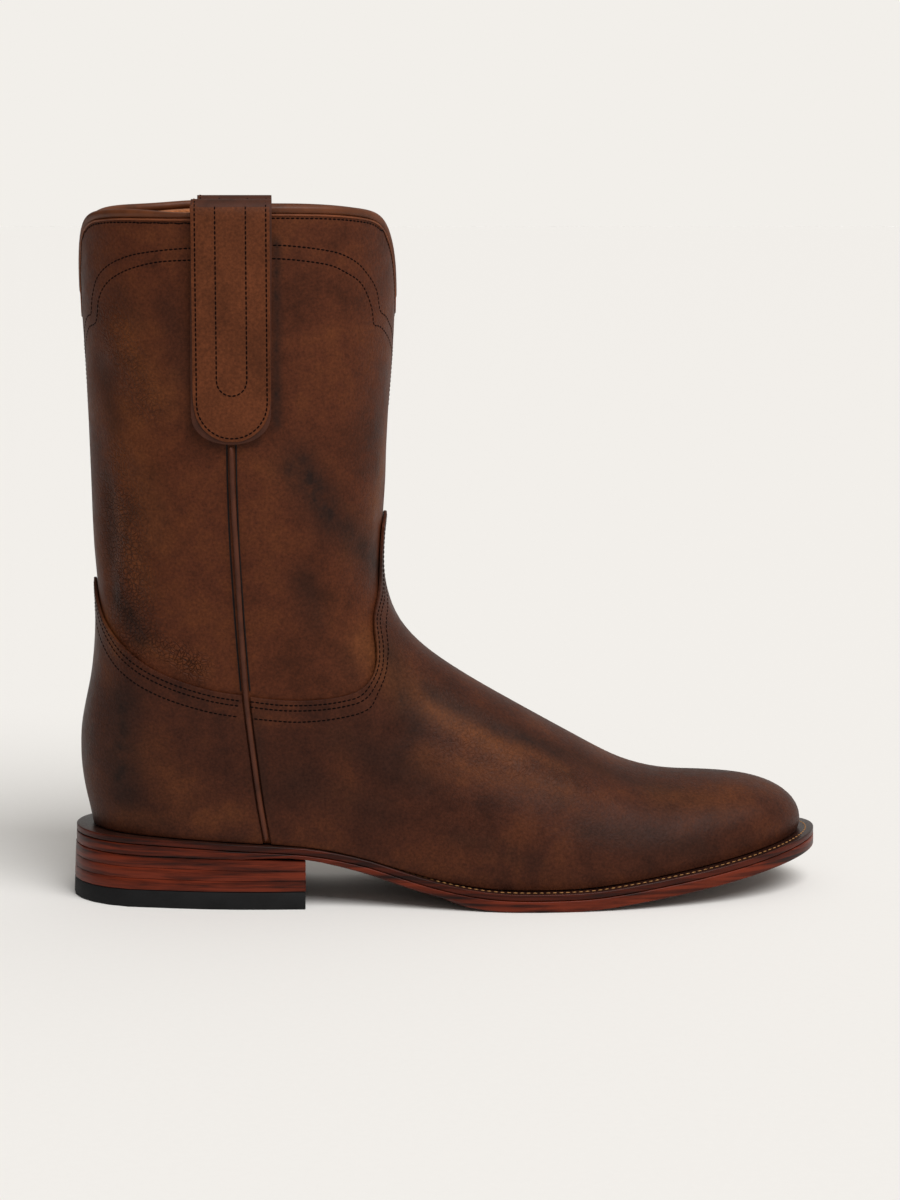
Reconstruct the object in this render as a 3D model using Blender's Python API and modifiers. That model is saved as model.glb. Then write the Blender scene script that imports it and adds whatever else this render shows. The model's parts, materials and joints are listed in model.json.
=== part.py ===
"""Pull-on roper boot for the right foot, toe towards +X and outer side towards -Y.

The upper, vamp and counter are lofted from one form function of the last and leg.
The origin is the centre of the rubber heel cap's flat bottom face.
"""

import math

import bmesh
import bpy
import numpy as np
from mathutils import Vector

# Driving sizes of the boot, in metres
OUTSOLE_LENGTH = 0.304
BALL_WIDTH = 0.101
SHAFT_HEIGHT = 0.2764
SHAFT_WIDTH = 0.1010
HEEL_SEAT_HEIGHT = 0.0215
HEEL_LENGTH = 0.093
HEEL_FLARE = 0.0010
HEEL_BREAST_HOLLOW = 0.0030
HEEL_CAP_THICKNESS = 0.0070
LIFT_COUNT = 3
OUTSOLE_THICKNESS = 0.0044
WELT_THICKNESS = 0.0026
WELT_WIDTH = 0.0135
WAIST_BEVEL = 0.0042
WAIST_BEVEL_START = 0.24
WAIST_BEVEL_END = 0.55
INSOLE_THICKNESS = 0.0030
WALL = 0.0022
PANEL_THICKNESS = 0.0013
FIT_GAP = 0.0003
FACET_ALLOWANCE = 0.0001
BINDING_RADIUS = 0.0015
PIPING_RADIUS = 0.0012
STRAP_WIDTH = 0.0306
STRAP_THICKNESS = 0.0026
STRAP_DROP = 0.0895
STRAP_INNER_DROP = 0.0420
STRAP_STAND = 0.0024
STRAP_END_FLAT = 0.0020
STRAP_RISE_OUTER = 0.0042
STRAP_RISE_INNER = 0.0058

# Shape of the last: how far its toe and heel turn to the inner side, how round its ends are
TOE_TURN = 0.011
TOE_TURN_START = 0.36
HEEL_TURN = 0.0060
HEEL_TURN_END = 0.256
TOE_ROUND = 0.056
HEEL_ROUND = 0.0300
BULGE = 0.0016
BULGE_HEIGHT = 0.014

# Outsole outline and underside. along: share of OUTSOLE_LENGTH from the heel's back.
# outer and inner: half width from the last's centre line, share of BALL_WIDTH.
# underside: height over the floor, share of HEEL_SEAT_HEIGHT.
# thickness: share of OUTSOLE_THICKNESS.
# ledge: how far the upper's feather line lies inside the sole's edge, in metres.
SOLE_COLUMNS = ("name", "along", "outer", "inner", "underside", "thickness", "ledge")
SOLE_SECTIONS = (
    ("heel back", 0.000, 0.300, 0.300, 1.000, 1.00, 0.0050),
    ("heel quarter", 0.090, 0.298, 0.298, 0.970, 0.94, 0.0048),
    ("heel middle", 0.170, 0.318, 0.318, 0.945, 0.80, 0.0044),
    ("heel breast", 0.306, 0.330, 0.316, 0.900, 0.54, 0.0034),
    ("waist back", 0.350, 0.334, 0.308, 0.735, 0.80, 0.0024),
    ("waist", 0.395, 0.348, 0.314, 0.560, 0.96, 0.0022),
    ("waist front", 0.445, 0.376, 0.344, 0.305, 1.00, 0.0032),
    ("joint back", 0.500, 0.423, 0.396, 0.120, 1.00, 0.0052),
    ("joint", 0.562, 0.468, 0.452, 0.000, 1.00, 0.0068),
    ("ball back", 0.600, 0.485, 0.477, 0.000, 1.00, 0.0071),
    ("ball front", 0.667, 0.498, 0.497, 0.000, 1.00, 0.0072),
    ("tread", 0.725, 0.500, 0.500, 0.100, 1.00, 0.0072),
    ("toe root", 0.790, 0.478, 0.480, 0.225, 1.00, 0.0071),
    ("toe middle", 0.865, 0.445, 0.446, 0.395, 1.00, 0.0070),
    ("toe tip", 1.000, 0.420, 0.420, 0.760, 1.00, 0.0070),
)

# Front and back profile of the upper in side view.
# along: share of OUTSOLE_LENGTH from the heel's back. height: share of SHAFT_HEIGHT.
LINE_COLUMNS = ("name", "along", "height")
FRONT_LINE = (
    ("toe wall", 0.979, 0.098),
    ("toe wall top", 0.975, 0.117),
    ("toe edge", 0.962, 0.1325),
    ("toe cap", 0.941, 0.1455),
    ("toe cap top", 0.911, 0.1550),
    ("toe box front", 0.875, 0.1598),
    ("toe box", 0.835, 0.1620),
    ("toe box back", 0.797, 0.1632),
    ("toe flat end", 0.770, 0.1665),
    ("vamp rise", 0.744, 0.1755),
    ("vamp low", 0.716, 0.1905),
    ("vamp", 0.669, 0.2215),
    ("vamp high", 0.622, 0.2500),
    ("waist roof", 0.575, 0.2800),
    ("instep low", 0.529, 0.3095),
    ("instep", 0.489, 0.3380),
    ("throat low", 0.4520, 0.3690),
    ("throat", 0.4265, 0.4010),
    ("throat top", 0.4135, 0.4330),
    ("shin root", 0.4085, 0.4700),
    ("shin low", 0.4080, 0.5050),
    ("shin", 0.4110, 0.5450),
    ("shaft low", 0.4150, 0.5900),
    ("shaft", 0.4175, 0.6700),
    ("shaft middle", 0.4215, 0.7400),
    ("shaft high", 0.4270, 0.8100),
    ("collar low", 0.4290, 0.8700),
    ("collar", 0.4285, 1.0000),
)
BACK_LINE = (
    ("seat", 0.0235, 0.130),
    ("heel swell low", 0.0165, 0.165),
    ("heel swell", 0.0130, 0.205),
    ("heel swell high", 0.0135, 0.240),
    ("heel neck low", 0.0195, 0.280),
    ("heel neck", 0.0280, 0.320),
    ("ankle", 0.0335, 0.365),
    ("ankle high", 0.0362, 0.415),
    ("calf root", 0.0350, 0.465),
    ("calf low", 0.0312, 0.515),
    ("calf", 0.0295, 0.580),
    ("calf high", 0.0270, 0.680),
    ("shaft back", 0.0235, 0.800),
    ("collar low", 0.0190, 0.880),
    ("collar", 0.0180, 1.000),
)
TOE_FEATHER = 0.9745
HEEL_FEATHER = 0.0275

# Leg sections. height: share of SHAFT_HEIGHT. half: share of SHAFT_WIDTH.
# back_round: how deep the back's rounding reaches, share of half the depth.
LEG_COLUMNS = ("name", "height", "half", "back_round")
LEG_SECTIONS = (
    ("heel seat", 0.100, 0.310, 0.52),
    ("heel", 0.200, 0.366, 0.52),
    ("low ankle", 0.260, 0.384, 0.60),
    ("ankle", 0.350, 0.392, 0.72),
    ("high ankle", 0.400, 0.408, 0.82),
    ("leg root", 0.450, 0.438, 0.92),
    ("leg", 0.520, 0.464, 1.00),
    ("shaft low", 0.640, 0.487, 1.00),
    ("shaft", 0.800, 0.495, 1.00),
    ("collar", 1.000, 0.500, 1.00),
)
FOOT_ROUNDNESS = 2.15
LEG_ROUNDNESS = 2.40
CORNER_BLEND = 3.0
ROUND_DEPTH_LIMIT = 0.0610
ROOF_RISE = 5.0

# Where the foot's sections turn into the leg's: start and length of each change,
# heights as shares of SHAFT_HEIGHT, places along as shares of OUTSOLE_LENGTH
LEG_WIDTH_START = 0.13
LEG_WIDTH_SPAN = 0.22
LEG_FRONT_START = 0.36
LEG_FRONT_SPAN = 0.20
LEG_ROUND_START = 0.22
LEG_ROUND_SPAN = 0.22
ROOF_FADE_START = 0.340
ROOF_FADE_SPAN = 0.145

# The upper's rings tilt forwards below this height, share of SHAFT_HEIGHT
THROAT_LEVEL = 0.4850

# Side seam. height: share of SHAFT_HEIGHT. along: share of OUTSOLE_LENGTH.
SEAM_COLUMNS = ("name", "height", "along")
SEAM_LINE = (
    ("sole", 0.100, 0.2560),
    ("heel", 0.150, 0.2480),
    ("low ankle", 0.230, 0.2390),
    ("ankle", 0.320, 0.2300),
    ("leg root", 0.480, 0.2220),
    ("leg", 0.680, 0.2150),
    ("collar", 1.000, 0.2178),
)
SEAM_HALF_SLOT = 0.0016

# Upper edge of vamp and counter, one row for each column of the loft.
# across: half width from the centre line in front or back view, or the distance from
# the heel's back in side view, share of OUTSOLE_LENGTH. height: share of SHAFT_HEIGHT.
EDGE_COLUMNS = ("view", "across", "height")
VAMP_EDGE = (
    ("front", 0.0000, 0.4690),
    ("front", 0.0240, 0.4660),
    ("front", 0.0470, 0.4580),
    ("front", 0.0660, 0.4370),
    ("front", 0.0800, 0.4170),
    ("front", 0.0880, 0.3880),
    ("front", 0.0970, 0.3560),
    ("front", 0.1095, 0.3300),
    ("side", 0.3740, 0.3170),
    ("side", 0.3560, 0.3120),
    ("side", 0.3375, 0.3090),
    ("side", 0.3185, 0.3075),
    ("side", 0.2990, 0.3070),
    ("side", 0.2800, 0.3080),
    ("side", 0.2610, 0.3100),
    ("side", 0.2440, 0.3125),
)
COUNTER_EDGE = (
    ("side", 0.1930, 0.3210),
    ("side", 0.1600, 0.3310),
    ("side", 0.1270, 0.3440),
    ("side", 0.0960, 0.3610),
    ("side", 0.0700, 0.3840),
    ("back", 0.0640, 0.4130),
    ("back", 0.0430, 0.4390),
    ("back", 0.0210, 0.4590),
    ("back", 0.0000, 0.4700),
)
SEAM_EDGE_HEIGHT = (0.3145, 0.3165)

# The vamp's tongue above its root. half: share of OUTSOLE_LENGTH, for the tongue's
# edge column. edge and middle: heights, share of SHAFT_HEIGHT.
TONGUE_COLUMNS = ("name", "half", "edge", "middle")
TONGUE_ROWS = (
    ("neck", 0.0385, 0.4870, 0.4980),
    ("waist", 0.0345, 0.5150, 0.5310),
    ("tip", 0.0375, 0.5450, 0.5660),
)
TONGUE_EDGE_COLUMN = 2

# Top of the wall under the binding. across: half width, share of SHAFT_WIDTH.
# height: share of SHAFT_HEIGHT. COLLAR_SAG lowers the outer side's rear half, in metres,
# and COLLAR_BACK_SQUARE makes the rear scallop narrower by that share.
COLLAR_COLUMNS = ("name", "across", "height")
COLLAR_EDGE = (
    ("notch", 0.000, 0.8490),
    ("notch side", 0.045, 0.8840),
    ("notch shoulder", 0.090, 0.9110),
    ("shoulder low", 0.140, 0.9375),
    ("shoulder", 0.205, 0.9640),
    ("shoulder top", 0.290, 0.9810),
    ("rim", 0.385, 0.9870),
    ("rim high", 0.455, 0.9900),
    ("side rim", 0.520, 0.9910),
)
COLLAR_BACK_SQUARE = 0.32
COLLAR_SAG = 0.0014
COLLAR_REAR_BLEND = 0.020

# Loft counts
LOWER_RINGS = 15
RING_FRONT_SHARES = (
    0.000, 0.024, 0.056, 0.098, 0.152, 0.225, 0.310, 0.395,
    0.480, 0.562, 0.640, 0.714, 0.784, 0.852, 0.924, 1.000,
)
UPPER_RING_SHARES = (0.350, 0.470, 0.600, 0.730, 0.870, 1.000)
SOLE_STATIONS = 32
HEEL_STATIONS = 11
TOE_STATIONS = 9
NORMAL_STEP = 0.004

HEEL_CENTRE = HEEL_LENGTH / 2
SEAM_STRAP_HEIGHT = SHAFT_HEIGHT - STRAP_DROP


# Interpolation helpers
def smooth_step(value):
    """Ease from 0 to 1 as value runs from 0 to 1."""
    value = min(max(value, 0.0), 1.0)
    return value * value * (3.0 - 2.0 * value)


def monotone_slopes(places, values):
    """Slopes of a cubic through the rows that never overshoots them."""
    steps = np.diff(places)
    rises = np.diff(values) / steps
    slopes = np.zeros(len(places))
    slopes[0] = rises[0]
    slopes[-1] = rises[-1]
    for index in range(1, len(places) - 1):
        before = rises[index - 1]
        after = rises[index]
        if before * after > 0.0:
            first = 2.0 * steps[index] + steps[index - 1]
            second = steps[index] + 2.0 * steps[index - 1]
            slopes[index] = (first + second) / (first / before + second / after)
    return slopes


class Curve:
    """A smooth function through a table's rows."""

    def __init__(self, places, values):
        self.places = np.array(places, dtype=float)
        self.values = np.array(values, dtype=float)
        self.slopes = monotone_slopes(self.places, self.values)

    def __call__(self, place):
        place = min(max(place, self.places[0]), self.places[-1])
        index = int(np.searchsorted(self.places, place, side="right")) - 1
        index = min(max(index, 0), len(self.places) - 2)
        span = self.places[index + 1] - self.places[index]
        share = (place - self.places[index]) / span
        square = share * share
        cube = square * share
        return (
            (2.0 * cube - 3.0 * square + 1.0) * self.values[index]
            + (cube - 2.0 * square + share) * span * self.slopes[index]
            + (3.0 * square - 2.0 * cube) * self.values[index + 1]
            + (cube - square) * span * self.slopes[index + 1]
        )


def column(rows, names, wanted, scale=1.0):
    """One column of a table, times its named size."""
    place = names.index(wanted)
    return [row[place] * scale for row in rows]


def bisect(function, low, high, target):
    """Where a rising function reaches its target."""
    for _ in range(48):
        middle = (low + high) / 2
        if function(middle) < target:
            low = middle
        else:
            high = middle
    return (low + high) / 2


# Curves of the sole and the last
SOLE_ALONG = column(SOLE_SECTIONS, SOLE_COLUMNS, "along", OUTSOLE_LENGTH)
SOLE_HALF = {
    -1: Curve(SOLE_ALONG, column(SOLE_SECTIONS, SOLE_COLUMNS, "outer", BALL_WIDTH)),
    1: Curve(SOLE_ALONG, column(SOLE_SECTIONS, SOLE_COLUMNS, "inner", BALL_WIDTH)),
}
UNDERSIDE = Curve(SOLE_ALONG, column(SOLE_SECTIONS, SOLE_COLUMNS, "underside", HEEL_SEAT_HEIGHT))
THICKNESS = Curve(SOLE_ALONG, column(SOLE_SECTIONS, SOLE_COLUMNS, "thickness", OUTSOLE_THICKNESS))
LEDGE = Curve(SOLE_ALONG, column(SOLE_SECTIONS, SOLE_COLUMNS, "ledge"))
LEG_HEIGHT = column(LEG_SECTIONS, LEG_COLUMNS, "height", SHAFT_HEIGHT)
LEG_HALF = Curve(LEG_HEIGHT, column(LEG_SECTIONS, LEG_COLUMNS, "half", SHAFT_WIDTH))
BACK_ROUND = Curve(LEG_HEIGHT, column(LEG_SECTIONS, LEG_COLUMNS, "back_round"))
SEAM_ALONG = Curve(
    column(SEAM_LINE, SEAM_COLUMNS, "height", SHAFT_HEIGHT),
    column(SEAM_LINE, SEAM_COLUMNS, "along", OUTSOLE_LENGTH),
)
COLLAR_HEIGHT = Curve(
    column(COLLAR_EDGE, COLLAR_COLUMNS, "across", SHAFT_WIDTH),
    column(COLLAR_EDGE, COLLAR_COLUMNS, "height", SHAFT_HEIGHT),
)


def centre_line(along, height=0.0):
    """How far the last's centre line lies to the inner side of the heel's axis."""
    toe_start = TOE_TURN_START * OUTSOLE_LENGTH
    toe = TOE_TURN * smooth_step((along - toe_start) / (OUTSOLE_LENGTH - toe_start))
    heel = HEEL_TURN * (1.0 - smooth_step(along / (HEEL_TURN_END * OUTSOLE_LENGTH)))
    low = 1.0 - smooth_step((height - HEEL_SEAT_HEIGHT) / (SHAFT_HEIGHT / 2))
    return toe + heel * low


def outsole_top(along):
    return UNDERSIDE(along) + THICKNESS(along)


def feather_height(along):
    """Height at which the upper meets the welt."""
    return outsole_top(along) + WELT_THICKNESS + 2 * FIT_GAP + FACET_ALLOWANCE


def profile(rows, feather_share):
    """Points of a profile line, from the feather line to the collar, close together."""
    along = [feather_share * OUTSOLE_LENGTH]
    height = [feather_height(along[0])]
    along += column(rows, LINE_COLUMNS, "along", OUTSOLE_LENGTH)
    height += column(rows, LINE_COLUMNS, "height", SHAFT_HEIGHT)
    travel = np.concatenate(([0.0], np.cumsum(np.hypot(np.diff(along), np.diff(height)))))
    along_curve = Curve(travel, along)
    height_curve = Curve(travel, height)
    samples = np.linspace(0.0, travel[-1], 800)
    return (
        np.array([along_curve(sample) for sample in samples]),
        np.array([height_curve(sample) for sample in samples]),
    )


FRONT_X, FRONT_Z = profile(FRONT_LINE, TOE_FEATHER)
BACK_X, BACK_Z = profile(BACK_LINE, HEEL_FEATHER)
THROAT_HEIGHT = THROAT_LEVEL * SHAFT_HEIGHT
SEAT_LEVEL = float(BACK_Z[0])
THROAT_INDEX = int(np.searchsorted(FRONT_Z, THROAT_HEIGHT))
FOOT_X = FRONT_X[: THROAT_INDEX + 1]
FOOT_Z = FRONT_Z[: THROAT_INDEX + 1]
FOOT_STEPS = np.hypot(np.diff(FOOT_X), np.diff(FOOT_Z))
FOOT_TRAVEL = np.concatenate(([0.0], np.cumsum(FOOT_STEPS[::-1])))
ROOF_START = int(np.argmax(FOOT_X))


def front_along(height):
    return float(np.interp(height, FRONT_Z, FRONT_X))


def back_along(height):
    return float(np.interp(height, BACK_Z, BACK_X))


def roof_height(along):
    """Height of the foot's top line, run on steeply inside the leg."""
    roof_x = FOOT_X[ROOF_START:][::-1]
    roof_z = FOOT_Z[ROOF_START:][::-1]
    height = float(np.interp(along, roof_x, roof_z))
    return height + ROOF_RISE * max(roof_x[0] - along, 0.0)


def rounding(share, power):
    """Half of a superellipse: 0 at the edge, 1 from share 1 inwards."""
    inside = 1.0 - min(max(share, 0.0), 1.0)
    return (1.0 - inside ** power) ** (1.0 / power)


def half_width(along, height, side):
    """Half width of the upper's outer face, from the last's centre line."""
    rise = height - feather_height(along)
    swell = 1.0 - (1.0 - min(max(rise / BULGE_HEIGHT, 0.0), 1.0)) ** 2
    foot = SOLE_HALF[side](along) - LEDGE(along) + BULGE * swell
    leg = LEG_HALF(height)
    height_share = height / SHAFT_HEIGHT
    leg_share = smooth_step((height_share - LEG_WIDTH_START) / LEG_WIDTH_SPAN)
    leg_share *= 1.0 - smooth_step((along / OUTSOLE_LENGTH - LEG_FRONT_START) / LEG_FRONT_SPAN)
    base = foot + (leg - foot) * leg_share
    power = FOOT_ROUNDNESS + (LEG_ROUNDNESS - FOOT_ROUNDNESS) * smooth_step(
        (height_share - LEG_ROUND_START) / LEG_ROUND_SPAN
    )
    depth = front_along(height) - back_along(height)
    front_round = min(depth / 2, ROUND_DEPTH_LIMIT)
    level_share = max((front_along(height) - along) / front_round, 1e-6)
    roof = roof_height(along)
    roof_share = max((roof - height) / (roof - feather_height(along)), 1e-6)
    roof_weight = 1.0 - smooth_step((height_share - ROOF_FADE_START) / ROOF_FADE_SPAN)
    blend = level_share ** -CORNER_BLEND + roof_weight * roof_share ** -CORNER_BLEND
    front = rounding(blend ** (-1.0 / CORNER_BLEND), power)
    back_depth = min(depth / 2, ROUND_DEPTH_LIMIT) * BACK_ROUND(height)
    back = rounding((along - back_along(height)) / back_depth, power)
    return base * front * back


def front_point(level):
    """Front end of the ring whose back end is at this height."""
    if level >= THROAT_HEIGHT:
        return front_along(level), level
    drop = THROAT_HEIGHT - level
    full = THROAT_HEIGHT - SEAT_LEVEL
    stretch = (FOOT_TRAVEL[-1] - full) / full ** 2
    travel = drop + stretch * drop ** 2
    return (
        float(np.interp(travel, FOOT_TRAVEL, FOOT_X[::-1])),
        float(np.interp(travel, FOOT_TRAVEL, FOOT_Z[::-1])),
    )


def ring_height(level, along):
    """Height of a ring at a place along the boot: straight, but following the sole low down."""
    front_x, front_z = front_point(level)
    back_x = back_along(level)
    share = (front_x - along) / (front_x - back_x)
    straight = front_z + (level - front_z) * share
    fullness = min(max((THROAT_HEIGHT - level) / (THROAT_HEIGHT - SEAT_LEVEL), 0.0), 1.0) ** 1.5
    chord = feather_height(front_x) + (feather_height(back_x) - feather_height(front_x)) * share
    return straight + fullness * (feather_height(along) - chord)


def seam_angle(level):
    """Angle round a ring, from the front, at which the side seam lies."""
    front_x, _ = front_point(level)
    back_x = back_along(level)
    along = SEAM_ALONG(level)
    for _ in range(3):
        along = SEAM_ALONG(ring_height(level, along))
    return math.acos(1.0 - 2.0 * (front_x - along) / (front_x - back_x))


def angle_to_place(level, angle):
    """Place round a ring: 0 front, 1 side seam, 2 back."""
    seam = seam_angle(level)
    if angle <= seam:
        return angle / seam
    return 1.0 + (angle - seam) / (math.pi - seam)


def along_at(level, place):
    seam = seam_angle(level)
    if place <= 1.0:
        angle = seam * place
    else:
        angle = seam + (math.pi - seam) * (place - 1.0)
    front_x, _ = front_point(level)
    back_x = back_along(level)
    return front_x + (back_x - front_x) * (1.0 - math.cos(angle)) / 2


def form_point(level, place):
    """Point of the upper's outer face. place is below 0 on the outer side, above 0 on the inner."""
    if place > 2.0:
        place -= 4.0
    if place < -2.0:
        place += 4.0
    side = 1 if place >= 0.0 else -1
    along = along_at(level, abs(place))
    height = ring_height(level, along)
    across = centre_line(along, height) + side * half_width(along, height, side)
    return Vector((along - HEEL_CENTRE, across, height))


def form_direction(level, place):
    """Outward direction of the form, level at the feather line so that edges stay on the welt."""
    step = NORMAL_STEP
    lift = step * SHAFT_HEIGHT
    low_level = max(level - lift, SEAT_LEVEL)
    round_way = form_point(level, place + step) - form_point(level, place - step)
    up_way = form_point(level + lift, place) - form_point(low_level, place)
    direction = round_way.cross(up_way).normalized()
    point = form_point(level, place)
    rise = point.z - feather_height(point.x + HEEL_CENTRE)
    direction.z *= smooth_step(rise / BULGE_HEIGHT)
    return direction.normalized()


def level_through(along, height):
    """Level of the ring that passes through a point seen from the side."""
    return bisect(lambda level: ring_height(level, along), SEAT_LEVEL, SHAFT_HEIGHT, height)


def lattice_place(view, across, height, side):
    """Level and place round the ring of a point named in front, side or back view."""
    across *= OUTSOLE_LENGTH
    height *= SHAFT_HEIGHT
    front_x = front_along(height)
    back_x = back_along(height)
    middle = (front_x + back_x) / 2
    if view == "side":
        along = across
    elif across == 0.0:
        along = front_x if view == "front" else back_x
    elif view == "front":
        reach = bisect(lambda r: half_width(front_x - r, height, side), 0.0, front_x - middle, across)
        along = front_x - reach
    else:
        reach = bisect(lambda r: half_width(back_x + r, height, side), 0.0, middle - back_x, across)
        along = back_x + reach
    if across == 0.0:
        return front_level(height) if view == "front" else height, 0.0 if view == "front" else 2.0
    level = level_through(along, height)
    front_end, _ = front_point(level)
    back_end = back_along(level)
    cosine = 1.0 - 2.0 * (front_end - along) / (front_end - back_end)
    angle = math.acos(min(max(cosine, -1.0), 1.0))
    return level, angle_to_place(level, angle)


def front_level(height):
    """Level of the ring whose front end is at this height."""
    if height >= THROAT_HEIGHT:
        return height
    return bisect(lambda level: front_point(level)[1], SEAT_LEVEL, THROAT_HEIGHT, height)


def slot_place(level, part):
    """Place of the seam slot's edge: part -1 for the vamp's side, 1 for the counter's."""
    target = along_at(level, 1.0) - part * SEAM_HALF_SLOT
    if part < 0:
        return bisect(lambda place: -along_at(level, place), 0.0, 1.0, -target)
    return bisect(lambda place: -along_at(level, place), 1.0, 2.0, -target)


def spread(level, first, last, count, crowd, side):
    """Places along a ring at lengths that grow from first to last by the crowd share."""
    samples = np.linspace(first, last, 160)
    points = [form_point(level, side * sample) for sample in samples]
    lengths = [0.0]
    for before, after in zip(points, points[1:]):
        lengths.append(lengths[-1] + (after - before).length)
    places = []
    for index in range(count + 1):
        share = index / count
        wanted = lengths[-1] * ((1.0 - crowd) * share + crowd * share * share)
        places.append(float(np.interp(wanted, lengths, samples)))
    return places


def collar_level(place, side):
    """Height of the wall's top at a place, from the collar's scallop."""
    height = COLLAR_HEIGHT(SHAFT_WIDTH / 2)
    for _ in range(12):
        point = form_point(height, side * place)
        rear = smooth_step((SEAM_ALONG(height) - HEEL_CENTRE - point.x) / COLLAR_REAR_BLEND)
        height = COLLAR_HEIGHT(abs(point.y) * (1.0 + COLLAR_BACK_SQUARE * rear))
        if side < 0:
            height -= COLLAR_SAG * rear * smooth_step(abs(point.y) / (0.4 * SHAFT_WIDTH))
    return height


VAMP_COLUMNS = len(VAMP_EDGE)
COUNTER_COLUMNS = len(COUNTER_EDGE)
SIDE_COLUMNS = VAMP_COLUMNS + 1 + COUNTER_COLUMNS
TONGUE_RINGS = len(TONGUE_ROWS)
RING_COUNT = LOWER_RINGS + 1 + TONGUE_RINGS + len(UPPER_RING_SHARES)


def side_lattice(side):
    """Levels and places of one side's loft: rings from the feather line up, columns front to back."""
    feather = spread(SEAT_LEVEL, 0.0, slot_place(SEAT_LEVEL, -1), VAMP_COLUMNS, 0.30, side)
    feather += spread(SEAT_LEVEL, slot_place(SEAT_LEVEL, 1), 2.0, COUNTER_COLUMNS, -0.15, side)
    edge = [lattice_place(*row, side) for row in VAMP_EDGE]
    for part, height in zip((-1, 1), SEAM_EDGE_HEIGHT):
        level = level_through(SEAM_ALONG(height * SHAFT_HEIGHT), height * SHAFT_HEIGHT)
        edge.append((level, slot_place(level, part)))
    edge += [lattice_place(*row, side) for row in COUNTER_EDGE]
    top_level = COLLAR_HEIGHT(SHAFT_WIDTH / 2)
    top = spread(top_level, 0.0, slot_place(top_level, -1), VAMP_COLUMNS, 0.0, side)
    top += spread(top_level, slot_place(top_level, 1), 2.0, COUNTER_COLUMNS, -0.25, side)
    collar = [collar_level(place, side) for place in top]
    rings = []
    for ring in range(LOWER_RINGS + 1):
        rings.append(lower_ring(ring, feather, edge))
    for row in range(TONGUE_RINGS):
        rings.append(tongue_ring(row, edge, top, collar, side))
    for share in UPPER_RING_SHARES:
        rings.append(shaft_ring(share, edge, top, collar))
    return rings


def is_slot_column(index):
    return index in (VAMP_COLUMNS, VAMP_COLUMNS + 1)


def snap_to_slot(index, level, place):
    """Keep the two columns beside the seam on the slot's edges."""
    if not is_slot_column(index):
        return place
    return slot_place(level, -1 if index == VAMP_COLUMNS else 1)


def lower_ring(ring, feather, edge):
    """A ring between the feather line and the panels' upper edge."""
    points = []
    even = ring / LOWER_RINGS
    for index, (edge_level, edge_place) in enumerate(edge):
        nose = math.cos(math.pi * feather[index] / 4) ** 2
        share = even + (RING_FRONT_SHARES[ring] - even) * nose
        arc = front_share_level(share, edge_level) if nose > 0.0 else 0.0
        level = SEAT_LEVEL + (edge_level - SEAT_LEVEL) * share
        level += (arc - level) * nose
        place = feather[index] + (edge_place - feather[index]) * smooth_step(share)
        points.append((level, snap_to_slot(index, level, place)))
    return points


def front_share_level(share, edge_level):
    """Level reached after a share of the front line's length up to the panel's edge."""
    edge_height = front_point(edge_level)[1]
    edge_travel = front_travel(edge_height)
    wanted = edge_travel * share
    return front_level(float(np.interp(wanted, FRONT_TRAVEL, FRONT_Z)))


FRONT_TRAVEL = np.concatenate(
    ([0.0], np.cumsum(np.hypot(np.diff(FRONT_X), np.diff(FRONT_Z))))
)


def front_travel(height):
    return float(np.interp(height, FRONT_Z, FRONT_TRAVEL))


def tongue_ring(row, edge, top, collar, side):
    """A ring that carries the vamp's tongue at the front and runs on round the leg."""
    _, half, edge_height, middle_height = TONGUE_ROWS[row]
    share = (edge_height * SHAFT_HEIGHT - edge[TONGUE_EDGE_COLUMN][0])
    share /= collar[TONGUE_EDGE_COLUMN] - edge[TONGUE_EDGE_COLUMN][0]
    edge_level, edge_place = lattice_place("front", half, edge_height, side)
    middle_level = front_level(middle_height * SHAFT_HEIGHT)
    points = []
    for index in range(SIDE_COLUMNS + 1):
        if index <= TONGUE_EDGE_COLUMN:
            inward = index / TONGUE_EDGE_COLUMN
            level = middle_level + (edge_level - middle_level) * inward ** 2
            place = edge_place * inward
        else:
            level, place = between(share, edge[index], top[index], collar[index])
        points.append((level, snap_to_slot(index, level, place)))
    return points


def between(share, edge_point, top_place, collar_height):
    """Level and place of a column at a share of the way from the panels' edge to the collar."""
    edge_level, edge_place = edge_point
    level = edge_level + (collar_height - edge_level) * share
    place = edge_place + (top_place - edge_place) * smooth_step(share)
    return level, place


def shaft_ring(share, edge, top, collar):
    points = []
    for index in range(SIDE_COLUMNS + 1):
        level, place = between(share, edge[index], top[index], collar[index])
        points.append((level, snap_to_slot(index, level, place)))
    return points


def full_lattice():
    """Rings of (level, place) all round: front, outer side, back, inner side."""
    outer = side_lattice(-1)
    inner = side_lattice(1)
    rings = []
    for outer_ring, inner_ring in zip(outer, inner):
        ring = [(level, -place) for level, place in outer_ring]
        ring += [inner_ring[index] for index in range(SIDE_COLUMNS - 1, 0, -1)]
        rings.append(ring)
    return rings


# Mesh helpers
def new_object(name, mesh, material):
    item = bpy.data.objects.new(name, mesh)
    mesh.materials.append(material)
    mesh.shade_smooth()
    mesh.set_sharp_from_angle(angle=math.radians(40))
    BOOT.objects.link(item)
    return item


def mesh_from(name, points, faces, material):
    """A closed solid from points and faces, with its faces turned outwards."""
    mesh = bpy.data.meshes.new(name)
    mesh.from_pydata([tuple(point) for point in points], [], faces)
    mesh.validate()
    work = bmesh.new()
    work.from_mesh(mesh)
    bmesh.ops.recalc_face_normals(work, faces=work.faces)
    work.to_mesh(mesh)
    work.free()
    return new_object(name, mesh, material)


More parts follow.
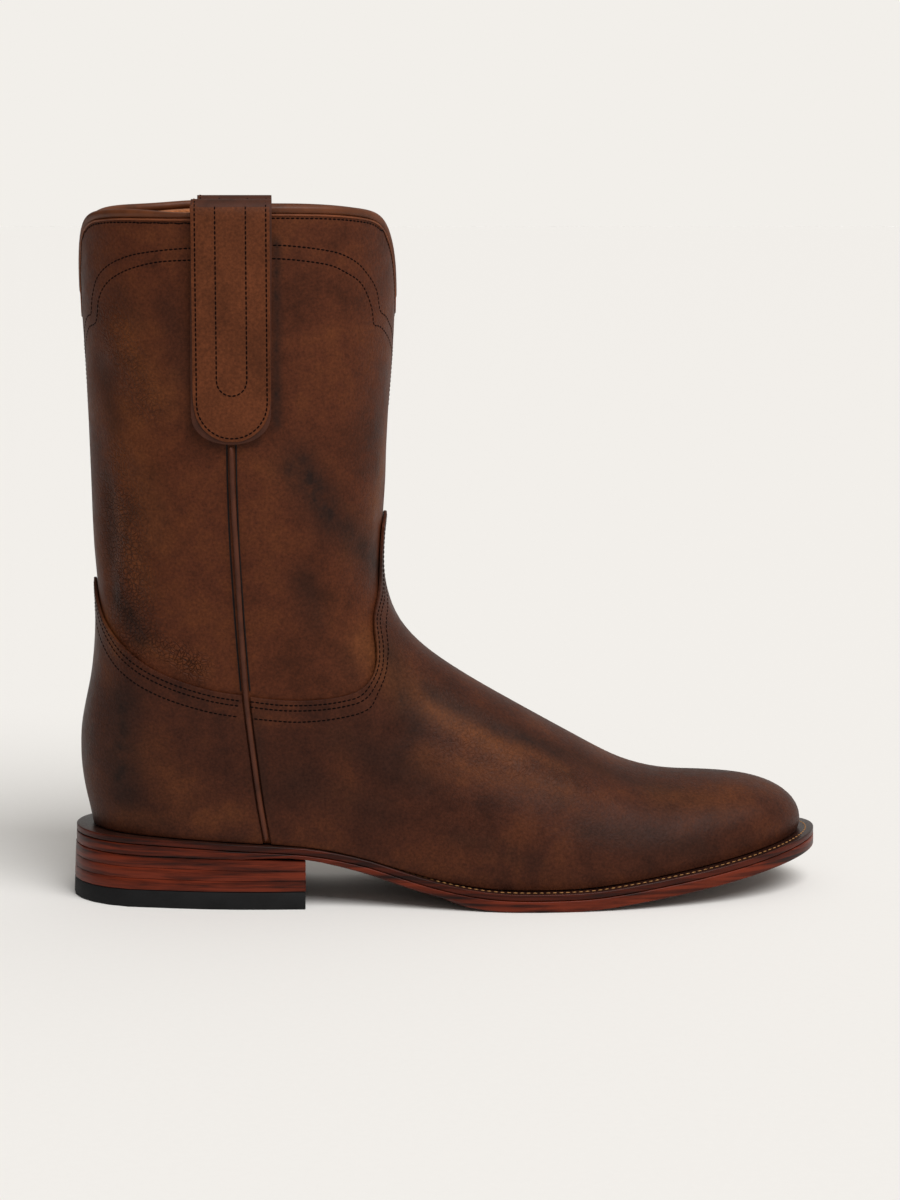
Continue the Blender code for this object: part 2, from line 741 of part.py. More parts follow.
def thick_patch(name, cells, low, high, material):
    """A panel between two offsets of the form. cells are (ring, column) of the loft."""
    count = len(LATTICE[0])
    used = sorted({corner for cell in cells for corner in cell_corners(cell, count)})
    number = {corner: index for index, corner in enumerate(used)}
    total = len(used)
    points = [offset_point(corner, high) for corner in used]
    points += [offset_point(corner, low) for corner in used]
    faces = []
    edges = {}
    for cell in cells:
        a, b, c, d = [number[corner] for corner in cell_corners(cell, count)]
        halves = ((a, b, c), (a, c, d)) if flatter_first(cell, count) else ((a, b, d), (b, c, d))
        for first, second, third in halves:
            faces.append((first, second, third))
            faces.append((third + total, second + total, first + total))
        for pair in ((a, b), (b, c), (c, d), (d, a)):
            if pair[::-1] in edges:
                del edges[pair[::-1]]
            else:
                edges[pair] = True
    for first, second in edges:
        faces.append((second, first, first + total))
        faces.append((second, first + total, second + total))
    return mesh_from(name, points, faces, material)


def cell_corners(cell, count):
    ring, index = cell
    after = (index + 1) % count
    return (ring, index), (ring, after), (ring + 1, after), (ring + 1, index)


def flatter_first(cell, count):
    """Whether a cell's first diagonal lies closer to the form than its second."""
    a, b, c, d = cell_corners(cell, count)
    return diagonal_error(a, c) <= diagonal_error(b, d)


def diagonal_error(first, second):
    first_level, first_place = LATTICE[first[0]][first[1]]
    second_level, second_place = LATTICE[second[0]][second[1]]
    if second_place - first_place > 2.0:
        second_place -= 4.0
    elif first_place - second_place > 2.0:
        second_place += 4.0
    middle = form_point((first_level + second_level) / 2, (first_place + second_place) / 2)
    return (middle - (FORM[first] + FORM[second]) / 2).length


def offset_point(corner, distance):
    """A loft point moved off the form. The lowest ring stays on the welt's slope."""
    point = FORM[corner] + DIRECTION[corner] * distance
    if corner[0] == 0:
        point.z = feather_height(point.x + HEEL_CENTRE)
    return point


def loft(name, loops, material, closed_ring=False):
    """A solid through closed loops of equal length, capped with strips across unless it is a ring."""
    count = len(loops[0])
    points = [point for loop in loops for point in loop]
    faces = []
    pairs = list(zip(range(len(loops)), range(1, len(loops))))
    if closed_ring:
        pairs.append((len(loops) - 1, 0))
    for low, high in pairs:
        for index in range(count):
            after = (index + 1) % count
            a, b = low * count + index, low * count + after
            c, d = high * count + after, high * count + index
            faces += [(a, b, c), (a, c, d)]
    if not closed_ring:
        for base in (0, (len(loops) - 1) * count):
            faces += [tuple(base + corner for corner in face) for face in strip_faces(count)]
    return mesh_from(name, points, faces, material)


def strip_faces(count):
    """Triangles across a loop that is mirrored about its first point."""
    faces = []
    for index in range((count + 1) // 2):
        a, b = index, index + 1
        c, d = (count - index - 1) % count, (count - index) % count
        corners = []
        for corner in (a, b, c, d):
            if corner not in corners:
                corners.append(corner)
        if len(corners) == 4:
            faces += [(a, b, c), (a, c, d)]
        elif len(corners) == 3:
            faces.append(tuple(corners))
    return faces


# Sole outlines
def edge_point(along, side, inset):
    """Point of the sole's edge, moved inwards in plan."""
    step = 0.0004
    before = plan_point(max(along - step, 0.0), side)
    after = plan_point(min(along + step, OUTSOLE_LENGTH), side)
    way = after - before
    if along <= 0.0:
        inward = Vector((1.0, 0.0))
    elif along >= OUTSOLE_LENGTH:
        inward = Vector((-1.0, 0.0))
    else:
        inward = Vector((way.y, -way.x)).normalized() * side
    return plan_point(along, side) + inward * inset


def plan_point(along, side):
    toe = rounding((OUTSOLE_LENGTH - along) / TOE_ROUND, 2.0)
    heel = rounding(along / HEEL_ROUND, 2.0)
    across = centre_line(along) + side * SOLE_HALF[side](along) * toe * heel
    return Vector((along, across))


def station(index):
    """Place along the sole: close together round the heel and toe, evenly spaced between."""
    toe_start = SOLE_STATIONS - TOE_STATIONS
    toe_along = OUTSOLE_LENGTH - TOE_ROUND
    if index <= HEEL_STATIONS:
        return HEEL_LENGTH * (1.0 - math.cos(math.pi / 2 * index / HEEL_STATIONS))
    if index >= toe_start:
        return toe_along + TOE_ROUND * math.sin(math.pi / 2 * (index - toe_start) / TOE_STATIONS)
    share = (index - HEEL_STATIONS) / (toe_start - HEEL_STATIONS)
    return HEEL_LENGTH + (toe_along - HEEL_LENGTH) * share


def sole_loop(inset, height):
    """Loop of the sole's edge from the heel's back along the outer side and home on the inner."""
    loop = []
    for index in range(SOLE_STATIONS + 1):
        loop.append(sole_vertex(station(index), -1, inset, height))
    for index in range(SOLE_STATIONS - 1, 0, -1):
        loop.append(sole_vertex(station(index), 1, inset, height))
    return loop


def sole_vertex(along, side, inset, height):
    place = edge_point(along, side, inset(along))
    return Vector((place.x - HEEL_CENTRE, place.y, height(place.x)))


def waist_inset(along):
    """The outsole's lower edge is bevelled under the waist."""
    share = along / OUTSOLE_LENGTH
    start = smooth_step((share - WAIST_BEVEL_START) / 0.07)
    return WAIST_BEVEL * start * smooth_step((WAIST_BEVEL_END - share) / 0.12)


def heel_loop(height, flare):
    """Loop of the heel: the sole's edge at the back and a hollow breast."""
    loop = []
    for index in range(HEEL_STATIONS + 1):
        loop.append(sole_vertex(station(index), -1, lambda _: -flare, height))
    corner = loop[-1].copy()
    other = sole_vertex(HEEL_LENGTH, 1, lambda _: -flare, height)
    for share in (0.25, 0.5, 0.75):
        point = corner.lerp(other, share)
        point.x -= HEEL_BREAST_HOLLOW * 4.0 * share * (1.0 - share)
        point.z = height(point.x + HEEL_CENTRE)
        loop.append(point)
    for index in range(HEEL_STATIONS, 0, -1):
        loop.append(sole_vertex(station(index), 1, lambda _: -flare, height))
    return loop


# Pieces
def make_outsole():
    loops = [
        sole_loop(waist_inset, UNDERSIDE),
        sole_loop(lambda _: 0.0, lambda along: UNDERSIDE(along) + 0.45 * THICKNESS(along)),
        sole_loop(lambda _: 0.0, outsole_top),
    ]
    loft("outsole", loops, material("sole leather", (0.27, 0.105, 0.06), 0.35))


def make_welt():
    def bottom(along):
        return outsole_top(along) + FIT_GAP

    def top(along):
        return bottom(along) + WELT_THICKNESS

    loops = [
        sole_loop(lambda _: 0.0, bottom),
        sole_loop(lambda _: 0.0, top),
        sole_loop(lambda _: WELT_WIDTH, top),
        sole_loop(lambda _: WELT_WIDTH, bottom),
    ]
    loft("welt", loops, material("welt leather", (0.12, 0.05, 0.032), 0.45), closed_ring=True)


def lift_height(share):
    """Height function of a layer line in the heel, between the cap and the outsole."""
    low = HEEL_CAP_THICKNESS + FIT_GAP / 2

    def height(along):
        return low + (UNDERSIDE(along) - FIT_GAP / 2 - low) * share

    return height


def flare_at(height):
    return HEEL_FLARE * (1.0 - height / HEEL_SEAT_HEIGHT)


def make_heel():
    lift_look = material("heel leather", (0.25, 0.095, 0.055), 0.35)
    for index in range(LIFT_COUNT):
        low = lift_height(index / LIFT_COUNT)
        high = lift_height((index + 1) / LIFT_COUNT)
        loops = [
            heel_loop(lambda along, low=low: low(along) + FIT_GAP / 2, flare_at(low(0.0))),
            heel_loop(lambda along, high=high: high(along) - FIT_GAP / 2, flare_at(high(0.0))),
        ]
        loft(f"heel_lift_{index + 1}", loops, lift_look)
    loops = [
        heel_loop(lambda _: 0.0, flare_at(0.0)),
        heel_loop(lambda _: HEEL_CAP_THICKNESS, flare_at(HEEL_CAP_THICKNESS)),
    ]
    loft("heel_cap", loops, material("black rubber", (0.02, 0.02, 0.021), 0.7))


def make_insole():
    """A board inside the wall's lowest ring."""
    inset = WALL + FIT_GAP + 2 * FACET_ALLOWANCE
    raised = Vector((0.0, 0.0, FIT_GAP))
    low = [offset_point((0, index), -inset) + raised for index in range(len(LATTICE[0]))]
    high = [point + Vector((0.0, 0.0, INSOLE_THICKNESS)) for point in low]
    loft("insole", [low, high], material("lining leather", (0.45, 0.2, 0.08), 0.7))


def make_upper_and_panels():
    count = len(LATTICE[0])
    leather = material("oiled leather", (0.1, 0.042, 0.024), 0.5)
    cells = [(ring, index) for ring in range(RING_COUNT - 1) for index in range(count)]
    thick_patch("upper", cells, -WALL, 0.0, leather)
    vamp = [
        (ring, index)
        for ring in range(LOWER_RINGS)
        for index in range(count)
        if index < VAMP_COLUMNS or index >= count - VAMP_COLUMNS
    ]
    vamp += [
        (ring, index)
        for ring in range(LOWER_RINGS, LOWER_RINGS + TONGUE_RINGS)
        for index in range(count)
        if index < TONGUE_EDGE_COLUMN or index >= count - TONGUE_EDGE_COLUMN
    ]
    low = FIT_GAP
    high = FIT_GAP + PANEL_THICKNESS
    thick_patch("vamp", vamp, low, high, leather)
    counter = [
        (ring, index)
        for ring in range(LOWER_RINGS)
        for index in range(VAMP_COLUMNS + 1, count - VAMP_COLUMNS - 1)
    ]
    thick_patch("counter", counter, low, high, leather)


def tube(name, points, radius, cyclic, look):
    """A round bead along a line of points."""
    curve = bpy.data.curves.new(name, "CURVE")
    curve.dimensions = "3D"
    curve.bevel_depth = radius
    curve.bevel_resolution = 1
    curve.use_fill_caps = not cyclic
    spline = curve.splines.new("POLY")
    spline.points.add(len(points) - 1)
    for target, point in zip(spline.points, points):
        target.co = (point.x, point.y, point.z, 1.0)
    spline.use_cyclic_u = cyclic
    item = bpy.data.objects.new(name, curve)
    curve.materials.append(look)
    BOOT.objects.link(item)


def make_binding():
    """A rolled bead that follows the top of the wall, mitred in the notches."""
    ring = RING_COUNT - 1
    count = len(LATTICE[0])
    rim = [offset_point((ring, index), -WALL / 2) for index in range(count)]
    points = []
    for index in range(count):
        before = (rim[index] - rim[index - 1]).normalized()
        after = (rim[(index + 1) % count] - rim[index]).normalized()
        face = DIRECTION[(ring, index)]
        ups = [face.cross(way).normalized() for way in (before, after)]
        ups = [up if up.z > 0.0 else -up for up in ups]
        mitre = (ups[0] + ups[1]) / (1.0 + ups[0].dot(ups[1]))
        points.append(rim[index] + mitre * (BINDING_RADIUS + FIT_GAP))
    tube("collar_binding", points, BINDING_RADIUS, True, material("binding leather", (0.16, 0.06, 0.03), 0.45))


def seam_point(height, side, distance):
    """Point over the side seam at a height, at a distance off the wall."""
    level = level_through(SEAM_ALONG(height), height)
    return form_point(level, side) + form_direction(level, side) * distance


def make_piping():
    look = material("piping leather", (0.09, 0.038, 0.022), 0.5)
    for name, side in (("outer", -1), ("inner", 1)):
        foot = feather_height(SEAM_ALONG(SEAT_LEVEL)) + 3 * FIT_GAP
        top = SEAM_STRAP_HEIGHT - 2 * FIT_GAP
        heights = np.linspace(top, foot, 20)
        points = [seam_point(height, side, FIT_GAP + PIPING_RADIUS) for height in heights]
        tube(f"side_piping_{name}", points, PIPING_RADIUS, False, look)


def strap_rows(rise):
    """Path of a pull strap: height, distance off the wall's outer face, and half width."""
    clear = FIT_GAP + STRAP_THICKNESS / 2
    reach = STRAP_WIDTH / 2
    rows = []
    for share in (0.0, 0.05, 0.16, 0.34, 0.6, 1.0):
        drop = reach * (1.0 - share)
        rows.append((SEAM_STRAP_HEIGHT + reach * share, clear, math.sqrt(reach ** 2 - drop ** 2) + STRAP_END_FLAT))
    rows = [(height, distance, min(half, reach)) for height, distance, half in rows]
    loop_top = SHAFT_HEIGHT + rise - STRAP_THICKNESS / 2
    for share, lift in ((0.3, 0.1), (0.48, 0.45), (0.66, 0.9), (0.82, 1.0)):
        height = SEAM_STRAP_HEIGHT + reach + (SHAFT_HEIGHT - SEAM_STRAP_HEIGHT - reach) * share
        rows.append((height, clear + STRAP_STAND * lift, reach))
    outer = clear + STRAP_STAND
    inner = -WALL - 3 * FIT_GAP - STRAP_THICKNESS / 2
    radius = (outer - inner) / 2
    for degrees in (0, 36, 72, 108, 144, 180):
        angle = math.radians(degrees)
        height = loop_top - radius + radius * math.sin(angle)
        rows.append((height, (outer + inner) / 2 + radius * math.cos(angle), reach))
    for share in (0.45, 1.0):
        height = loop_top - radius - STRAP_INNER_DROP * share
        rows.append((height, inner, reach))
    return rows


def make_straps():
    look = material("strap leather", (0.11, 0.046, 0.026), 0.5)
    shares = (-1.0, -0.5, 0.0, 0.5, 1.0)
    wall_top = COLLAR_HEIGHT(SHAFT_WIDTH / 2)
    for name, side, rise in (("outer", -1, STRAP_RISE_OUTER), ("inner", 1, STRAP_RISE_INNER)):
        points = []
        rows = strap_rows(rise)
        for height, distance, half in rows:
            on_wall = min(height, wall_top)
            for share in shares:
                along = SEAM_ALONG(on_wall) + share * half
                across = centre_line(along, on_wall) + side * (half_width(along, on_wall, side) + distance)
                points.append((along - HEEL_CENTRE, across, height))
        width = len(shares)
        faces = []
        for row in range(len(rows) - 1):
            for index in range(width - 1):
                start = row * width + index
                faces.append((start, start + 1, start + width + 1, start + width))
        mesh = bpy.data.meshes.new(f"pull_strap_{name}")
        mesh.from_pydata(points, [], faces)
        strap = new_object(f"pull_strap_{name}", mesh, look)
        body = strap.modifiers.new("Thickness", "SOLIDIFY")
        body.thickness = STRAP_THICKNESS
        body.offset = 0.0
        body.use_even_offset = True


def material(name, colour, roughness):
    look = bpy.data.materials.new(name)
    look.use_nodes = True
    shader = look.node_tree.nodes["Principled BSDF"]
    shader.inputs["Base Color"].default_value = (*colour, 1.0)
    shader.inputs["Roughness"].default_value = roughness
    look.diffuse_color = (*colour, 1.0)
    return look


def clear_scene():
    for item in list(bpy.data.objects):
        bpy.data.objects.remove(item, do_unlink=True)


clear_scene()
BOOT = bpy.data.collections.new("roper_boot")
bpy.context.scene.collection.children.link(BOOT)
LATTICE = full_lattice()
FORM = {}
DIRECTION = {}
for ring_number, ring_row in enumerate(LATTICE):
    for column_number, (ring_level, ring_place) in enumerate(ring_row):
        FORM[(ring_number, column_number)] = form_point(ring_level, ring_place)
        DIRECTION[(ring_number, column_number)] = form_direction(ring_level, ring_place)

make_outsole()
make_welt()
make_heel()
make_insole()
make_upper_and_panels()
make_binding()
make_piping()
make_straps()
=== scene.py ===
import json
import math

import bpy
import numpy as np
from bpy.props import FloatProperty, FloatVectorProperty, PointerProperty
from bpy.types import Operator, Panel, PropertyGroup
from mathutils import Matrix, Vector
from mathutils.bvhtree import BVHTree

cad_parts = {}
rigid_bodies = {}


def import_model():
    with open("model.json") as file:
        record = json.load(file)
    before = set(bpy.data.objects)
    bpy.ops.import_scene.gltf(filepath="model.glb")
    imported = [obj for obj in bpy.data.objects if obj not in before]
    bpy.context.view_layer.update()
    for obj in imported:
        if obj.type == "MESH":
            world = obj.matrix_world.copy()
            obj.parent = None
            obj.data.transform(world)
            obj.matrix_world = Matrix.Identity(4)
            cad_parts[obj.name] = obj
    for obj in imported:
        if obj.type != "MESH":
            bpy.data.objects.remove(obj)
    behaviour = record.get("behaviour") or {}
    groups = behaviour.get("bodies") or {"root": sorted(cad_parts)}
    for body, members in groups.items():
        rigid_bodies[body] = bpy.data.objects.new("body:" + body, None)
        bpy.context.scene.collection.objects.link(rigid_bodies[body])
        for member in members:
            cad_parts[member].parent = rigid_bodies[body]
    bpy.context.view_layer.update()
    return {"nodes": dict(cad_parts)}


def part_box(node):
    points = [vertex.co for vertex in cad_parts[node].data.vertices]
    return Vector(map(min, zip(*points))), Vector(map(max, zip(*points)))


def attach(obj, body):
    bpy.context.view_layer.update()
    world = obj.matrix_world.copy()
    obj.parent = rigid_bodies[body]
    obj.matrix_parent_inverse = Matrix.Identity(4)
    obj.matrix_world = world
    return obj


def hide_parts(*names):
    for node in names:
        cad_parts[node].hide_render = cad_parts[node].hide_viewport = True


bl_info = {
    "name": "Roper boot",
    "version": (1, 0, 0),
    "blender": (4, 5, 0),
    "location": "3D View > Sidebar > Boot",
    "description": "Leather, stitching, stacked heel and studio for a pull-on roper boot",
    "category": "Object",
}

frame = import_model()
NODES = frame["nodes"]
MM = 0.001

# Directions from which a line's points are dropped onto the boot
VIEWS = {
    "outer": Vector((0.0, -1.0, 0.0)),
    "inner": Vector((0.0, 1.0, 0.0)),
    "front": Vector((1.0, 0.0, 0.0)),
    "back": Vector((-1.0, 0.0, 0.0)),
}

# Points of lines in mm, across and height. Across is x from the side, and y from the front or back
COLLAR_ROW_OUTER = (
    ("front", (
        (0, 212.8), (4.5, 220.4), (13, 229.1), (16.6, 231.3), (21.3, 234.6), (26, 236.8), (28, 243),
        (30, 247.1), (33.2, 250.9), (37.2, 255.3),
    )),
    ("side", (
        (63.6, 258.4), (58.5, 260.2), (47.9, 261.9), (36.1, 262.8), (20, 262.3), (4.8, 261.7),
        (-6.4, 260.9), (-18.9, 258.9),
    )),
    ("back", (
        (35, 255), (28.8, 249.4), (24.8, 241.5), (23.2, 235.8), (18.9, 234.7), (11.5, 228.7),
        (4.5, 220.4), (0, 212.8),
    )),
)
COLLAR_ROW_INNER = (
    ("front", (
        (0, 198), (2.4, 207.2), (7, 217.7), (15.3, 224.1), (20.8, 227.9), (26.5, 231), (30, 231.6),
        (30.7, 236), (32, 240), (34.2, 244.7), (37.1, 248.8),
    )),
    ("side", (
        (63.6, 252.1), (57.5, 255), (47, 256.8), (36.1, 257.7), (20, 257.6), (4.4, 257.2),
        (-9.9, 256.2), (-21.7, 252.8),
    )),
    ("back", (
        (33.9, 248), (29.4, 241.7), (27, 233), (20.5, 230.6), (14, 225.3), (7, 217.7), (2.4, 207.2),
        (0, 198),
    )),
)
VAMP_EDGE = (
    ("front", (
        (0, 156.4), (5.7, 155), (11.2, 150.6), (10.5, 142.3), (11.7, 134.6), (14.3, 126.6),
        (20.1, 120.8), (24.3, 115.3), (26.8, 107.2), (29.5, 98.4), (33.3, 91.2),
    )),
    ("side", (
        (67.2, 87.6), (61.7, 86.2), (56.1, 85.4), (50.3, 85), (44.4, 84.9), (38.6, 85.1),
        (32.8, 85.7), (25.4, 86.8),
    )),
)
VAMP_ROW_LOW = (
    ("front", (
        (0, 154.4), (0, 145), (1.6, 137.5), (6.6, 126), (12.2, 119), (17.6, 113.6), (21, 108),
        (24.2, 101.4), (28, 93), (31.8, 86.6),
    )),
    ("side", (
        (71, 80.6), (59, 77.6), (43.2, 76.5), (26.4, 78.1),
    )),
)
COUNTER_EDGE = (
    ("back", (
        (0, 129.9), (6.4, 126.9), (13.1, 121.3), (19.5, 114.2),
    )),
    ("side", (
        (-25.2, 106.1), (-17.3, 99.8), (-7.9, 95.1), (2.1, 91.5), (12.2, 88.7), (21.4, 87.1),
    )),
)

# Middle of the side seam above the foot, x and z in mm
SEAM = ((18.9, 190), (19, 172), (19.6, 150), (20.7, 128), (21.9, 108), (23.3, 89))

# Moves of the rim in mm: name, side, x, width, move, and heights where it starts and is whole
RIM_MOVES = (
    ("whole outer rim", "outer", 20, 900, 1.1, 263.5, 274),
    ("whole inner rim", "inner", 20, 900, 1.1, 263.5, 274),
    ("behind the strap", "inner", 6, 18, 1.7, 263.5, 274),
    ("before the strap", "inner", 44, 16, 0.4, 263.5, 274),
    ("behind the strap", "outer", 6, 16, -0.6, 263.5, 274),
    ("roll behind the strap", "outer", 2, 16, -1.7, 273.6, 277),
)

# Troughs in the leather in mm, or ridges: name, side, x and z of both ends, width, depth
FOLDS = (
    ("ankle fold", "both", -29.5, 168, -29.5, 126, 4.2, 1.15),
    ("ankle ridge", "both", -21, 152, -25.5, 120, 3.4, -0.7),
    ("ankle slant", "both", -6, 157, -22, 118, 5, 0.75),
    ("ankle slant ridge", "outer", -1, 148, -14, 112, 4.5, -0.3),
    ("counter wrinkle low", "both", -25, 113, -8, 99.5, 1.7, 0.32),
    ("counter wrinkle", "both", -20, 114.5, 2, 97, 1.7, 0.3),
    ("counter wrinkle high", "both", -23.5, 121, -10, 106, 1.8, 0.3),
    ("counter wrinkle ridge", "both", -24, 116.5, -6, 103, 1.7, -0.28),
    ("side wrinkle", "outer", -6, 101, 14, 93.5, 1.6, 0.22),
    ("seam wrinkle", "outer", 27.5, 92, 42, 89.5, 1.5, 0.24),
    ("shaft dent", "outer", -31, 214, -6, 190, 8, 0.75),
    ("shaft dent ridge", "outer", -28, 228, -2, 206, 7, -0.45),
    ("shaft dent low", "outer", -27, 190, -8, 172, 7, -0.35),
    ("shaft dent inner", "inner", -26, 222, -4, 198, 9, 0.6),
    ("shin dent", "outer", 50, 178, 68, 146, 9, 0.7),
    ("shin ridge", "outer", 38, 160, 56, 132, 8, -0.35),
    ("shin dent inner", "inner", 56, 182, 66, 150, 9, 0.55),
    ("lower shaft hollow", "outer", 47, 134, 54, 106, 9, 0.5),
    ("throat fold", "both", 76, 98, 84, 70, 5.5, 0.65),
    ("flex fold high", "both", 96, 83, 124, 69, 4.5, 0.45),
    ("flex fold", "both", 122, 68.5, 164, 50, 4.8, 0.6),
    ("flex ridge", "both", 118, 60, 152, 45, 5.5, -0.35),
    ("toe hollow", "outer", 150, 34, 178, 27, 7, 0.35),
    ("counter hollow", "both", -6, 74, -18, 58, 9, -0.3),
)

# Dark places in the charcoal tone: smudges of oil and dye, and painted shade along the troughs of the
# folds, on the heel's back edge and beside the strap's front edge. Name, side, x and z of both ends in mm,
# width in mm, share of the dark tone
SMUDGES_AND_SHADE = (
    # Painted shade: the rows from shin to upper dent follow the troughs of the shin, shaft and ankle folds
    ("shin", "outer", 45, 178, 58, 157, 9, 1),
    ("shin low", "outer", 58, 157, 76, 134, 8, 0.95),
    ("shin inner", "inner", 52, 176, 70, 146, 9, 0.8),
    ("lower shaft", "outer", 46, 134, 51, 116, 6, 0.55),
    ("ankle back", "both", -30.5, 172, -30, 140, 4.5, 0.6),
    ("ankle hollow", "both", -27, 126, -18, 110, 5, 0.85),
    ("upper dent", "outer", -32, 216, -26, 194, 5, 0.55),
    ("under collar", "outer", -24, 244, -16, 234, 5, 0.35),
    ("beside strap", "outer", -6, 240, 0, 214, 6, 0.4),
    # Painted shadow: a dark line on the shaft beside the strap's front edge
    ("strap front shadow", "outer", 36.6, 264, 36.4, 194, 2, 0.85),
    ("strap foot", "outer", 12, 187.5, 29, 187.5, 2.2, 0.5),
    # Painted shade: the rows from throat to flex end follow the creases of the throat and flex folds
    ("throat", "both", 79, 102, 90, 72, 6, 0.75),
    ("flex high", "both", 94, 86, 123, 70, 4.2, 0.75),
    ("flex", "both", 123, 70, 150, 58, 4.2, 0.95),
    ("flex end", "both", 150, 58, 176, 47, 5, 0.65),
    ("vamp side", "both", 60, 70, 92, 52, 9, 0.55),
    ("vamp low", "both", 44, 52, 76, 40, 9, 0.5),
    ("toe side", "both", 158, 31, 204, 23, 6, 0.7),
    ("ball side", "both", 106, 30, 138, 20, 5, 0.5),
    # Painted shade on the back edge of the heel, which turns away from the light
    ("heel back", "both", -40, 84, -42, 40, 9, 0.95),
    ("heel seat", "both", -36, 32, 20, 28, 3.2, 0.6),
    ("seam foot", "both", 27, 78, 31, 40, 3, 0.55),
)

# Finely wrinkled places, with the share of the full wrinkles
WRINKLES = (
    ("ankle", "both", -26, 162, -20, 112, 12, 0.85),
    ("above counter", "both", -24, 118, 4, 99, 5.5, 0.95),
    ("ankle top", "outer", -26, 182, -22, 160, 7, 0.45),
    ("upper back", "outer", -26, 232, -14, 202, 9, 0.5),
    ("instep", "both", 84, 100, 120, 74, 9, 0.16),
    ("flex", "both", 110, 66, 160, 46, 12, 0.2),
)

# Lighter places: patches where the wax is thin and the leather shows lighter, and painted highlights
# on the shin's front edge, the upper back, the instep, the toe's top and the counter, with the share of
# that tone
PULL_UP_AND_HIGHLIGHTS = (
    # Painted highlight on the shin's lit front edge
    ("shin edge highlight", "both", 80, 190, 76, 160, 7, 0.7),
    ("lower shaft", "outer", 60, 124, 66, 98, 9, 0.1),
    # Painted light on the shaft's upper back
    ("upper back", "outer", -22, 228, -8, 204, 9, 0.55),
    ("back middle", "outer", -22, 200, -10, 150, 9, 0.5),
    ("ankle rub", "both", -32, 118, -27, 104, 3, 0.8),
    ("ankle back", "both", -25, 158, -16, 132, 6, 0.5),
    ("above counter", "both", -18, 108, 8, 97, 3.5, 0.45),
    # Painted highlights along the instep's crest, here and in the next row
    ("instep", "both", 84, 112, 100, 96, 8, 0.85),
    ("instep low", "both", 100, 96, 137, 74, 6.5, 0.8),
    ("vamp middle", "both", 94, 60, 150, 46, 7, 0.42),
    ("vamp patch", "both", 130, 64, 150, 52, 4, 0.55),
    # Painted highlight on the toe's top
    ("toe top highlight", "both", 190, 40, 214, 38, 8, 0.45),
    # Painted highlight on the heel counter
    ("counter", "outer", -16, 60, -2, 46, 10, 0.35),
    ("counter low", "both", -27, 36, 18, 38, 5, 0.5),
)

# Which way each side lies across the boot
SIDES = {"outer": (-1,), "inner": (1,), "both": (-1, 1)}

# How far off the boot, a strap, a strap's inside, a panel and the welt a ray starts
RAY_START = 0.4
STRAP_RAY = 0.2
STRAP_INSIDE_RAY = 30 * MM
PANEL_RAY = 8 * MM
WELT_RAY = 0.1

# How far from the middle the skin is looked for where a ray misses it
MISS_SEARCH = 0.05

# Angles in degrees: smooth shading and kept outlines, bevelled edges, and the wall's own edges
SMOOTH_ANGLE = 40
BEVEL_ANGLE = 50
WALL_ANGLE = 55

# Faces told apart by their tilt: the wall's top, a panel's outside, the welt's edge, the sole's side
RIM_TOP_TILT = 0.35
PANEL_OUT_TILT = 0.6
WELT_EDGE_TILT = 0.75
SOLE_UNDER_TILT = 0.8
SOLE_SIDE_TILT = 0.22

# Corners closer than this are merged, and a point's move less than this isn't made
MERGE_GAP = 0.02 * MM
LEAST_MOVE = 0.01 * MM

# Steps along a rounded line, and along one that is moved sideways
LINE_STEP = 0.4 * MM
SHIFT_STEP = 0.5 * MM

# Middle of the leg, and a place on the lining's inner side
LEG_MIDDLE = Vector((20.0, 0.0, 200.0)) * MM
LINING_PLACE = Vector((20.0, 48.0, 200.0)) * MM

# Height above which the rim is looked for, and the longest upright edge that isn't cut
RIM_ABOVE = 0.22
LONGEST_EDGE = 11 * MM
UPRIGHT_SHARE = 0.8

# How far the heel's and sole's layers swell to close the joints between them
LAYER_SWELL = 0.09 * MM

# Thickness of the vamp and counter over the shaft
PANEL_THICKNESS = 1.6 * MM

# How much the binding's roll swells and sinks, so that no gap shows between it and the wall
BINDING_SWELL = 0.5 * MM
BINDING_DROP = 0.35 * MM

# The folded lip's distance below the rim and off the wall
LIP_BELOW = 0.6 * MM
LIP_RISE = 0.15 * MM

# The seam channels' distance from the piping's middle in mm, depth and radius
CHANNEL_OFFSET = 1.75
CHANNEL_SINK = 0.12 * MM
CHANNEL_RADIUS = 0.38 * MM

# Rounding of small edges
LIFT_ROUND = 0.06 * MM
LAYER_ROUND = 0.16 * MM
STRAP_ROUND = 0.35 * MM
BOARD_ROUND = 0.4 * MM

# Outer radius of a strap's fold over the collar
STRAP_BEND = 5.5 * MM

# The strap's top layer: its length beyond the strap's height, its rows' step and its lift
LAYER_BEYOND = 48 * MM
LAYER_STEP = 4.2 * MM
LAYER_LIFT = 0.05 * MM

# The strap's two U rows: distance in from the edge, half width and height of the inner one
STRAP_ROW_IN = 2.3 * MM
STRAP_U_HALF = 5.8 * MM
STRAP_U_RISE = 18.6 * MM
STRAP_ROW_BEYOND = 20 * MM
STRAP_ROW_STEP = 3 * MM

# How deep a stitch lies in the leather, and its height as a share of its width
STITCH_SINK = 0.12 * MM
STITCH_FLATNESS = 0.8

# Rows below the rim outside and in the lining, and the lining's stitches
RIM_ROW = 2.0 * MM
LINING_ROW = 3.2 * MM
LINING_PITCH = 2.0 * MM
LINING_STITCH = 1.4 * MM

# Rows along the cut edges, as distances in mm
EDGE_ROWS = {"vamp": (VAMP_EDGE, (1.8, 3.9)), "counter": (COUNTER_EDGE, (1.8, 3.9, 8.4))}

# Welt stitches: length, width and distance in from the welt's edge
WELT_STITCH = 1.9 * MM
WELT_THREAD = 0.85 * MM
WELT_LEDGE = 3.1 * MM

